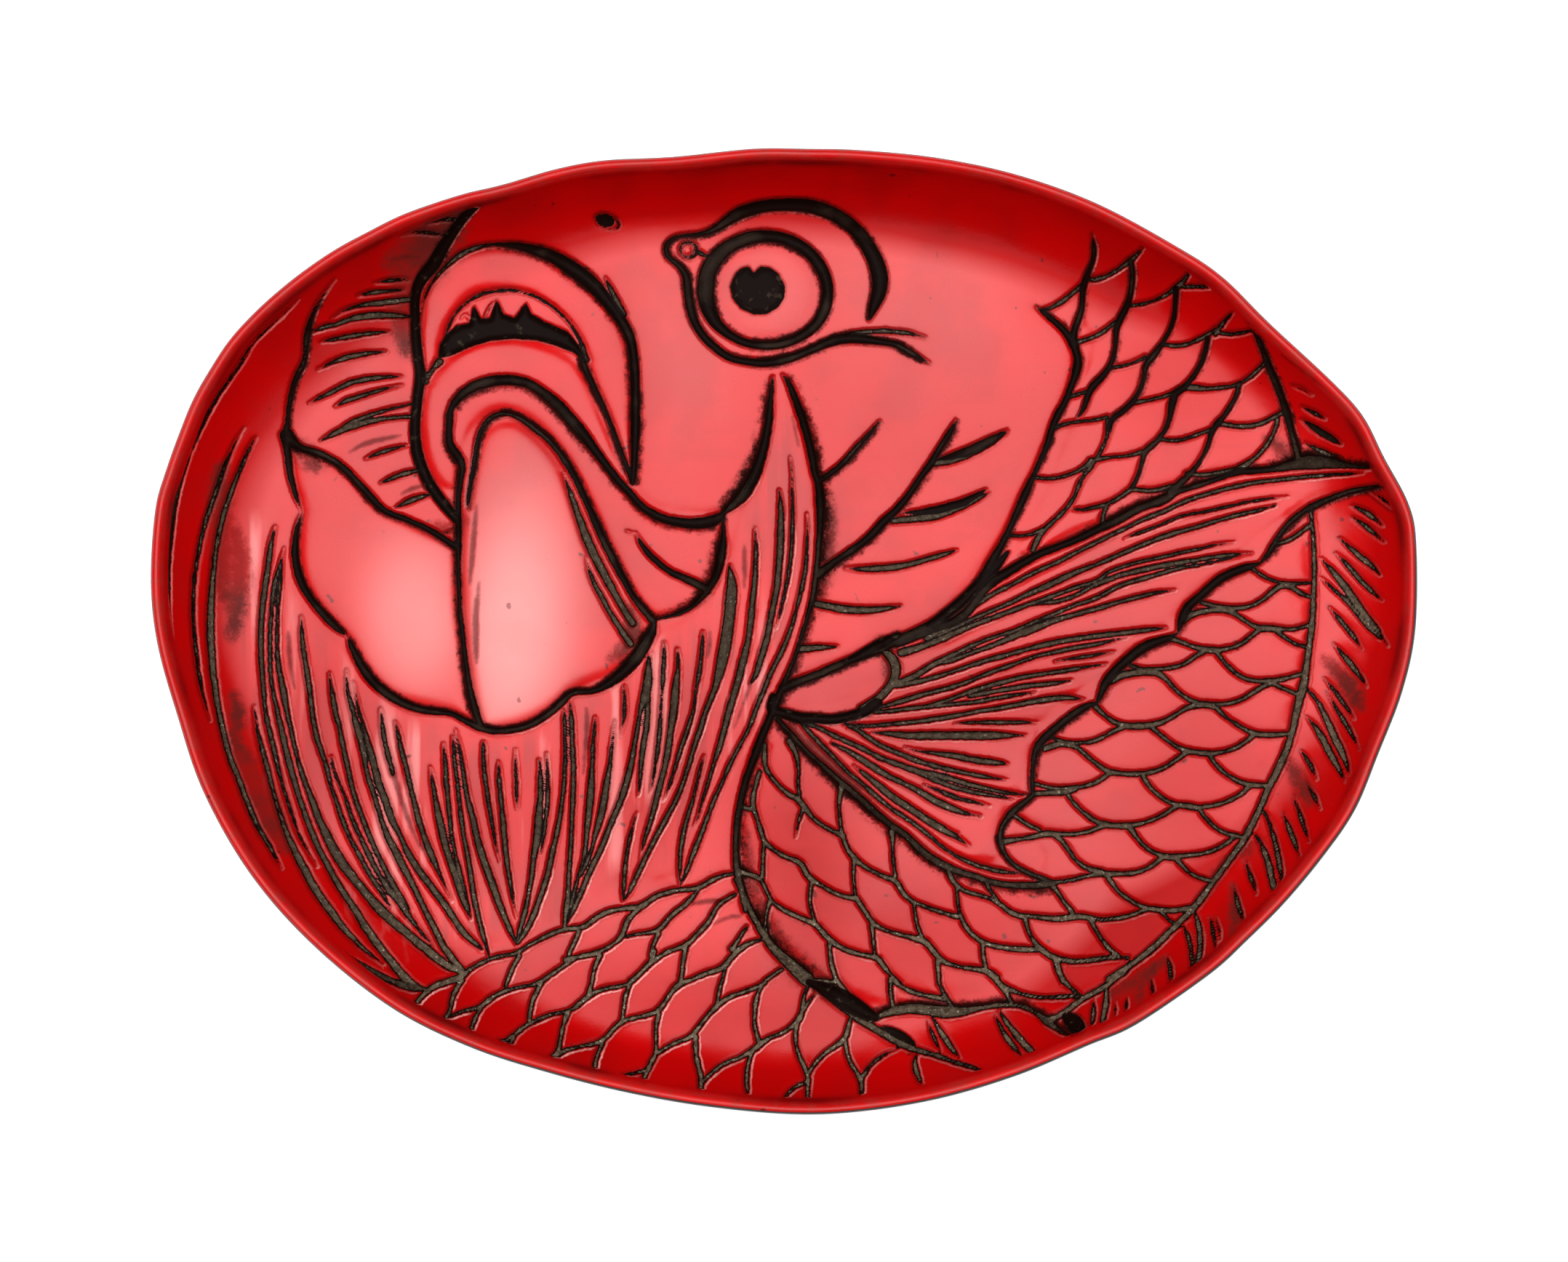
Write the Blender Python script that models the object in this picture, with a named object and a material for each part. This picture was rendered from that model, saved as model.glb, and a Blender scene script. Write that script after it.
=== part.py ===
"""A shallow oval tray carved from one block of wood: flat foot, flared outer wall, rounded rim, coved inner wall,
and a floor carved in low relief with a curled fish. One closed body, base on z = 0, long axis along X."""

import bpy
import bmesh
import math
import numpy as np

# ---------------------------------------------------------------- driving dimensions (metres)
LENGTH = 0.360            # overall length along X
HEIGHT = 0.028            # rim top above the table
FLOOR_Z = 0.0085          # plain floor level inside the tray
RELIEF = 0.0030           # height of the tallest carved mass above the plain floor
AROUND = 132              # points round every ring
FLOOR_RINGS = 22          # rings between the foot of the inner wall and the centre

# Drawing sheet: one sheet unit is UNIT metres, x to the right, y down the sheet.
SHEET_SPAN = 1742.0
UNIT = LENGTH / SHEET_SPAN
SHEET_CX, SHEET_CY = 1078.0, 867.0

# Outer edge of the rim, clockwise from the left end, in sheet units.
OUTLINE = [
    (207, 798), (213, 700), (228, 645), (247, 592), (266, 546), (290, 504), (316, 465), (351, 427), (389, 393),
    (427, 364), (465, 339), (508, 316), (550, 295), (596, 278), (641, 264), (672, 257), (703, 249), (764, 231),
    (830, 219), (927, 214), (1035, 203), (1110, 203), (1186, 205), (1294, 216), (1401, 239), (1509, 278),
    (1617, 336), (1682, 379), (1746, 442), (1833, 523), (1876, 571), (1905, 628), (1938, 690), (1949, 744),
    (1948, 862), (1930, 949), (1897, 1035), (1865, 1112), (1822, 1175), (1768, 1240), (1714, 1294), (1664, 1339),
    (1563, 1408), (1498, 1436), (1401, 1477), (1294, 1509), (1186, 1527), (1089, 1531), (970, 1520), (862, 1501),
    (755, 1474), (647, 1439), (539, 1385), (431, 1299), (345, 1202), (280, 1089), (243, 981), (216, 884),
]

# Section through the wall: (distance inward from the outer edge, height), both in metres.
OUTER_WALL = [
    (0.0340, 0.0000), (0.0290, 0.0006), (0.0235, 0.0026), (0.0165, 0.0068), (0.0100, 0.0122),
    (0.0052, 0.0180), (0.0022, 0.0224), (0.0004, 0.0252),
]
RIM = [(0.0000, 0.0264), (0.0006, 0.0276), (0.0019, 0.0280), (0.0033, 0.0275), (0.0041, 0.0262)]
INNER_WALL = [(0.0056, 0.0228), (0.0084, 0.0183), (0.0124, 0.0137), (0.0175, 0.0104), (0.0235, 0.0088)]
FLOOR_START = 0.0300      # distance inward where the floor proper begins

# Carved masses: name, height as a share of RELIEF, width of the shoulder in metres, outline in sheet units.
MASSES = [
    ("head", 0.34, 0.016, [
        (690, 300), (800, 300), (900, 262), (1060, 250), (1230, 270), (1380, 330), (1440, 420), (1480, 492),
        (1450, 590), (1400, 700), (1330, 800), (1270, 866), (1160, 915), (1073, 946), (1100, 860), (1126, 720),
        (1105, 580), (1070, 520), (1055, 600), (1005, 695), (900, 690), (872, 640), (872, 500), (800, 372),
        (680, 330)]),
    ("upper_lip", 0.80, 0.0060, [
        (580, 530), (571, 470), (582, 410), (615, 362), (672, 342), (741, 350), (808, 385), (848, 430), (872, 500),
        (874, 580), (868, 665), (838, 590), (812, 530), (800, 485), (772, 440), (718, 404), (650, 402), (612, 450),
        (604, 500)]),
    ("lower_lip", 0.72, 0.0055, [
        (580, 545), (636, 480), (700, 464), (770, 484), (806, 520), (835, 590), (862, 660), (900, 708), (990, 714),
        (985, 790), (955, 835), (900, 850), (858, 800), (812, 700), (770, 620), (730, 575), (680, 562), (640, 600),
        (628, 670), (590, 640)]),
    ("tongue", 1.00, 0.0130, [
        (634, 690), (655, 610), (700, 580), (745, 610), (785, 670), (812, 745), (850, 812), (886, 862), (860, 915),
        (800, 940), (755, 975), (700, 998), (660, 996), (645, 920), (636, 820)]),
    ("jaw_lobe", 0.85, 0.0120, [
        (394, 606), (460, 632), (520, 692), (580, 726), (626, 752), (630, 830), (640, 900), (650, 985), (600, 972),
        (540, 955), (500, 915), (478, 876), (435, 838), (408, 780), (412, 700), (396, 650)]),
    ("eye", 0.75, 0.0075, [
        (984, 400), (995, 358), (1025, 334), (1060, 328), (1098, 340), (1124, 370), (1130, 402), (1118, 438),
        (1090, 462), (1054, 470), (1018, 460), (992, 434)]),
    ("beard", 0.30, 0.012, [
        (330, 700), (380, 720), (400, 800), (470, 885), (560, 975), (680, 1010), (800, 950), (890, 880), (985, 800),
        (1060, 560), (1105, 580), (1125, 720), (1090, 900), (1045, 1010), (990, 1100), (925, 1205), (860, 1200),
        (780, 1262), (700, 1290), (630, 1310), (560, 1330), (470, 1260), (390, 1160), (330, 1010), (305, 850)]),
    ("pectoral_fin", 0.45, 0.010, [
        (1110, 975), (1230, 930), (1350, 850), (1450, 770), (1600, 690), (1750, 648), (1880, 642), (1790, 690),
        (1700, 770), (1620, 850), (1550, 910), (1440, 980), (1415, 1080), (1380, 1110), (1390, 1170), (1300, 1180),
        (1200, 1110), (1120, 1030)]),
    ("body_right", 0.62, 0.018, [
        (1500, 340), (1600, 380), (1690, 440), (1740, 520), (1770, 640), (1650, 670), (1500, 720), (1400, 760),
        (1430, 690), (1480, 560), (1500, 470), (1480, 420)]),
    ("body_lower", 0.70, 0.022, [
        (1060, 1020), (1110, 1015), (1200, 1100), (1330, 1190), (1440, 1190), (1400, 1110), (1420, 1020), (1520, 920),
        (1620, 840), (1720, 740), (1790, 720), (1795, 900), (1760, 1060), (1690, 1190), (1600, 1300), (1480, 1390),
        (1330, 1385), (1180, 1370), (1080, 1300), (1030, 1200), (1020, 1100)]),
    ("tail", 0.50, 0.018, [
        (600, 1350), (700, 1290), (860, 1230), (1000, 1230), (1080, 1320), (1180, 1400), (1330, 1430), (1240, 1470),
        (1080, 1480), (900, 1465), (740, 1430)]),
]


# ---------------------------------------------------------------- helpers
def closed_curve(points, count):
    """Periodic centripetal-free Catmull-Rom through the points, resampled to `count` points at even arc length."""
    p = np.array(points, float)
    n = len(p)
    dense = []
    for i in range(n):
        a, b, c, d = p[i - 1], p[i], p[(i + 1) % n], p[(i + 2) % n]
        for k in range(24):
            t = k / 24.0
            dense.append(0.5 * ((2 * b) + (c - a) * t + (2 * a - 5 * b + 4 * c - d) * t * t
                                + (3 * b - a - 3 * c + d) * t ** 3))
    dense = np.array(dense)
    step = np.linalg.norm(np.roll(dense, -1, axis=0) - dense, axis=1)
    s = np.concatenate([[0.0], np.cumsum(step)])
    x = np.append(dense[:, 0], dense[0, 0])
    y = np.append(dense[:, 1], dense[0, 1])
    at = np.linspace(0.0, s[-1], count, endpoint=False)
    return np.stack([np.interp(at, s, x), np.interp(at, s, y)], axis=1)


def to_metres(points):
    p = np.array(points, float)
    return np.stack([(p[:, 0] - SHEET_CX) * UNIT, (SHEET_CY - p[:, 1]) * UNIT], axis=1)


def smooth_ring(values, passes):
    for _ in range(passes):
        values = 0.25 * np.roll(values, 1, axis=0) + 0.5 * values + 0.25 * np.roll(values, -1, axis=0)
    return values


def inside_distance(points, polygon):
    """Distance to the polygon's edge for points inside it, zero outside."""
    a = polygon
    b = np.roll(polygon, -1, axis=0)
    best = np.full(len(points), 1e9)
    inside = np.zeros(len(points), bool)
    for (ax, ay), (bx, by) in zip(a, b):
        ex, ey = bx - ax, by - ay
        t = np.clip(((points[:, 0] - ax) * ex + (points[:, 1] - ay) * ey) / (ex * ex + ey * ey + 1e-18), 0, 1)
        dx, dy = points[:, 0] - ax - t * ex, points[:, 1] - ay - t * ey
        best = np.minimum(best, np.hypot(dx, dy))
        crosses = (ay > points[:, 1]) != (by > points[:, 1])
        with np.errstate(divide="ignore", invalid="ignore"):
            xi = ax + (points[:, 1] - ay) * ex / (ey if ey else 1e-18)
        inside ^= crosses & (points[:, 0] < xi)
    return np.where(inside, best, 0.0)


def relief(points):
    """Height of the carving above the plain floor."""
    height = np.zeros(len(points))
    for _, share, shoulder, outline in MASSES:
        polygon = to_metres(closed_curve(outline, 96))
        t = np.clip(inside_distance(points, polygon) / shoulder, 0, 1)
        height = np.maximum(height, RELIEF * share * np.sqrt(1 - (1 - t) ** 2))
    return height


# ---------------------------------------------------------------- build
for old in list(bpy.data.objects):
    bpy.data.objects.remove(old, do_unlink=True)

edge = to_metres(closed_curve(OUTLINE, AROUND))          # clockwise on the sheet
edge = edge[::-1]                                        # anticlockwise seen from above
half = 0.5 * (edge.max(axis=0) + edge.min(axis=0))
edge = edge - half
edge[:, 0] *= LENGTH / (edge[:, 0].max() - edge[:, 0].min())

tangent = smooth_ring(np.roll(edge, -1, axis=0) - np.roll(edge, 1, axis=0), 10)
tangent /= np.linalg.norm(tangent, axis=1)[:, None]
inward = np.stack([-tangent[:, 1], tangent[:, 0]], axis=1)
calm_edge = smooth_ring(edge, 30)                        # the wave of the rim dies away down the wall


def ring_at(offset, z):
    calm = min(max((offset - 0.004) / 0.018, 0.0), 1.0)
    flat = (edge * (1 - calm) + calm_edge * calm) + inward * offset
    return np.column_stack([flat, np.full(AROUND, z)])


rings = [ring_at(o, z) for o, z in OUTER_WALL + RIM + INNER_WALL]

start = ring_at(FLOOR_START, FLOOR_Z)
wall_foot = len(rings)
for k in range(FLOOR_RINGS):
    share = 1 - k / FLOOR_RINGS
    flat = start[:, :2] * share
    rings.append(np.column_stack([flat, FLOOR_Z + relief(flat + half)]))
centre_point = np.array([[0.0, 0.0]])
top_z = float(FLOOR_Z + relief(centre_point + half)[0])

mesh = bpy.data.meshes.new("carved_tray")
bm = bmesh.new()
rows = [[bm.verts.new((float(x), float(y), float(z))) for x, y, z in ring] for ring in rings]
top = bm.verts.new((0.0, 0.0, top_z))
base = bm.verts.new((0.0, 0.0, 0.0))
for lower, upper in zip(rows, rows[1:]):
    for i in range(AROUND):
        j = (i + 1) % AROUND
        bm.faces.new((lower[i], lower[j], upper[j], upper[i]))
for i in range(AROUND):
    j = (i + 1) % AROUND
    bm.faces.new((rows[-1][i], rows[-1][j], top))
    bm.faces.new((rows[0][j], rows[0][i], base))
bmesh.ops.triangulate(bm, faces=[f for f in bm.faces if len(f.verts) > 3])
bmesh.ops.recalc_face_normals(bm, faces=bm.faces)
for face in bm.faces:
    face.smooth = max(v.co.z for v in face.verts) > 1e-6  # everything but the flat foot
bm.to_mesh(mesh)
bm.free()

tray = bpy.data.objects.new("carved_tray", mesh)
bpy.context.scene.collection.objects.link(tray)

lacquer = bpy.data.materials.new("red_lacquer")
lacquer.use_nodes = True
surface = next(n for n in lacquer.node_tree.nodes if n.type == "BSDF_PRINCIPLED")
surface.inputs["Base Color"].default_value = (0.46, 0.022, 0.028, 1.0)
surface.inputs["Roughness"].default_value = 0.38
surface.inputs["Coat Weight"].default_value = 0.25
mesh.materials.append(lacquer)
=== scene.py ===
import math

import bpy
import numpy as np
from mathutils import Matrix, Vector


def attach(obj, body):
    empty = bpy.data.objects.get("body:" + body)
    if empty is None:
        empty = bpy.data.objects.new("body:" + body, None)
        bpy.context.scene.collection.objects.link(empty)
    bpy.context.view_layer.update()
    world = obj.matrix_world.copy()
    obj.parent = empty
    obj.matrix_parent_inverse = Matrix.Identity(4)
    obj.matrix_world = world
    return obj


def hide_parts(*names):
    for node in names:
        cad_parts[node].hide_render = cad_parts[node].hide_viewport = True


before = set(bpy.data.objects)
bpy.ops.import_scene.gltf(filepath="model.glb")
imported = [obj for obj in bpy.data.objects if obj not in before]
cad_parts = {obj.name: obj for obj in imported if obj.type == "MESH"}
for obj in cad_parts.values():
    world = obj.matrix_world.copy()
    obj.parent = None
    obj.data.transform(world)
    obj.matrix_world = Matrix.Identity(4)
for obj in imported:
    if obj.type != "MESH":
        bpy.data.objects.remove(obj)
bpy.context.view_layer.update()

# The tray's visible surface, drawn on a sheet: one sheet unit is UNIT metres, x to the right, y down the sheet.
LENGTH = 0.360
UNIT = LENGTH / 1742.0
SHEET_CX, SHEET_CY = 1078.0, 867.0
FLOOR_Z, RELIEF = 0.0085, 0.0030
RIM_Z = 0.027
CAMERA_Z = 3.0
K = 280              # rows between the centre of the tray and the inner edge of the rim
FLOOR_SHARE = 0.84   # share of those rows that lie on the floor
FLOOR_START = 0.0300

# Outer edge of the rim, clockwise from the left end, in sheet units.
OUTLINE = [
    (207, 798), (213, 700), (228, 645), (247, 592), (266, 546), (290, 504), (316, 465), (351, 427), (389, 393),
    (427, 364), (465, 339), (508, 316), (550, 295), (596, 278), (641, 264), (672, 257), (703, 249), (764, 231),
    (830, 219), (927, 214), (1035, 203), (1110, 203), (1186, 205), (1294, 216), (1401, 239), (1509, 278),
    (1617, 336), (1682, 379), (1746, 442), (1833, 523), (1876, 571), (1905, 628), (1938, 690), (1949, 744),
    (1948, 862), (1930, 949), (1897, 1035), (1865, 1112), (1822, 1175), (1768, 1240), (1714, 1294), (1664, 1339),
    (1563, 1408), (1498, 1436), (1401, 1477), (1294, 1509), (1186, 1527), (1089, 1531), (970, 1520), (862, 1501),
    (755, 1474), (647, 1439), (539, 1385), (431, 1299), (345, 1202), (280, 1089), (243, 981), (216, 884),
]

# Section through the wall: (distance inward from the outer edge, height), both in metres.
OUTER_WALL = [
    (0.0340, 0.0000), (0.0290, 0.0006), (0.0235, 0.0026), (0.0165, 0.0068), (0.0100, 0.0122),
    (0.0052, 0.0180), (0.0022, 0.0224), (0.0004, 0.0252),
]
RIM = [(0.0000, 0.0264), (0.0005, 0.0275), (0.0014, 0.0280), (0.0023, 0.0276), (0.0029, 0.0264)]
INNER_WALL = [(0.0044, 0.0230), (0.0074, 0.0184), (0.0116, 0.0138), (0.0170, 0.0104), (0.0232, 0.0088)]

# Carved masses: name, height as a share of RELIEF, width of the shoulder in metres, outline in sheet units.
MASSES = [
    ("head", 0.34, 0.016, [
        (690, 300), (800, 300), (900, 262), (1060, 250), (1230, 270), (1380, 330), (1440, 420), (1480, 492),
        (1450, 590), (1400, 700), (1330, 800), (1270, 866), (1160, 915), (1073, 946), (1100, 860), (1126, 720),
        (1105, 580), (1070, 520), (1055, 600), (1005, 695), (900, 690), (872, 640), (872, 500), (800, 372),
        (680, 330)]),
    ("upper_lip", 0.80, 0.0060, [
        (580, 530), (571, 470), (582, 410), (615, 362), (672, 342), (741, 350), (808, 385), (848, 430), (872, 500),
        (874, 580), (868, 665), (838, 590), (812, 530), (800, 485), (772, 440), (718, 404), (650, 402), (612, 450),
        (604, 500)]),
    ("lower_lip", 0.72, 0.0055, [
        (580, 545), (636, 480), (700, 464), (770, 484), (806, 520), (835, 590), (862, 660), (900, 708), (990, 714),
        (985, 790), (955, 835), (900, 850), (858, 800), (812, 700), (770, 620), (730, 575), (680, 562), (640, 600),
        (628, 670), (590, 640)]),
    ("tongue", 1.00, 0.0130, [
        (634, 690), (655, 610), (700, 580), (745, 610), (785, 670), (812, 745), (850, 812), (886, 862), (860, 915),
        (800, 940), (755, 975), (700, 998), (660, 996), (645, 920), (636, 820)]),
    ("jaw_lobe", 0.85, 0.0120, [
        (394, 606), (460, 632), (520, 692), (580, 726), (626, 752), (630, 830), (640, 900), (650, 985), (600, 972),
        (540, 955), (500, 915), (478, 876), (435, 838), (408, 780), (412, 700), (396, 650)]),
    ("eye", 0.75, 0.0075, [
        (984, 400), (995, 358), (1025, 334), (1060, 328), (1098, 340), (1124, 370), (1130, 402), (1118, 438),
        (1090, 462), (1054, 470), (1018, 460), (992, 434)]),
    ("beard", 0.30, 0.012, [
        (330, 700), (380, 720), (400, 800), (470, 885), (560, 975), (680, 1010), (800, 950), (890, 880), (985, 800),
        (1060, 560), (1105, 580), (1125, 720), (1090, 900), (1045, 1010), (990, 1100), (925, 1205), (860, 1200),
        (780, 1262), (700, 1290), (630, 1310), (560, 1330), (470, 1260), (390, 1160), (330, 1010), (305, 850)]),
    ("pectoral_fin", 0.45, 0.010, [
        (1110, 975), (1230, 930), (1350, 850), (1450, 770), (1600, 690), (1750, 648), (1880, 642), (1790, 690),
        (1700, 770), (1620, 850), (1550, 910), (1440, 980), (1415, 1080), (1380, 1110), (1390, 1170), (1300, 1180),
        (1200, 1110), (1120, 1030)]),
    ("body_right", 0.62, 0.018, [
        (1500, 340), (1600, 380), (1690, 440), (1740, 520), (1770, 640), (1650, 670), (1500, 720), (1400, 760),
        (1430, 690), (1480, 560), (1500, 470), (1480, 420)]),
    ("body_lower", 0.70, 0.022, [
        (1060, 1020), (1110, 1015), (1200, 1100), (1330, 1190), (1440, 1190), (1400, 1110), (1420, 1020), (1520, 920),
        (1620, 840), (1720, 740), (1790, 720), (1795, 900), (1760, 1060), (1690, 1190), (1600, 1300), (1480, 1390),
        (1330, 1385), (1180, 1370), (1080, 1300), (1030, 1200), (1020, 1100)]),
    ("tail", 0.50, 0.018, [
        (600, 1350), (700, 1290), (860, 1230), (1000, 1230), (1080, 1320), (1180, 1400), (1330, 1430), (1240, 1470),
        (1080, 1480), (900, 1465), (740, 1430)]),
]


# ---------------------------------------------------------------- helpers
def closed_curve(points, count):
    """Periodic centripetal-free Catmull-Rom through the points, resampled to `count` points at even arc length."""
    p = np.array(points, float)
    n = len(p)
    dense = []
    for i in range(n):
        a, b, c, d = p[i - 1], p[i], p[(i + 1) % n], p[(i + 2) % n]
        for k in range(24):
            t = k / 24.0
            dense.append(0.5 * ((2 * b) + (c - a) * t + (2 * a - 5 * b + 4 * c - d) * t * t
                                + (3 * b - a - 3 * c + d) * t ** 3))
    dense = np.array(dense)
    step = np.linalg.norm(np.roll(dense, -1, axis=0) - dense, axis=1)
    s = np.concatenate([[0.0], np.cumsum(step)])
    x = np.append(dense[:, 0], dense[0, 0])
    y = np.append(dense[:, 1], dense[0, 1])
    at = np.linspace(0.0, s[-1], count, endpoint=False)
    return np.stack([np.interp(at, s, x), np.interp(at, s, y)], axis=1)


def to_metres(points):
    p = np.array(points, float)
    return np.stack([(p[:, 0] - SHEET_CX) * UNIT, (SHEET_CY - p[:, 1]) * UNIT], axis=1)


def inside_distance(points, polygon):
    """Distance to the polygon's edge for points inside it, zero outside."""
    a = polygon
    b = np.roll(polygon, -1, axis=0)
    best = np.full(len(points), 1e9)
    inside = np.zeros(len(points), bool)
    for (ax, ay), (bx, by) in zip(a, b):
        ex, ey = bx - ax, by - ay
        t = np.clip(((points[:, 0] - ax) * ex + (points[:, 1] - ay) * ey) / (ex * ex + ey * ey + 1e-18), 0, 1)
        dx, dy = points[:, 0] - ax - t * ex, points[:, 1] - ay - t * ey
        best = np.minimum(best, np.hypot(dx, dy))
        crosses = (ay > points[:, 1]) != (by > points[:, 1])
        with np.errstate(divide="ignore", invalid="ignore"):
            xi = ax + (points[:, 1] - ay) * ex / (ey if ey else 1e-18)
        inside ^= crosses & (points[:, 0] < xi)
    return np.where(inside, best, 0.0)



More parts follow.
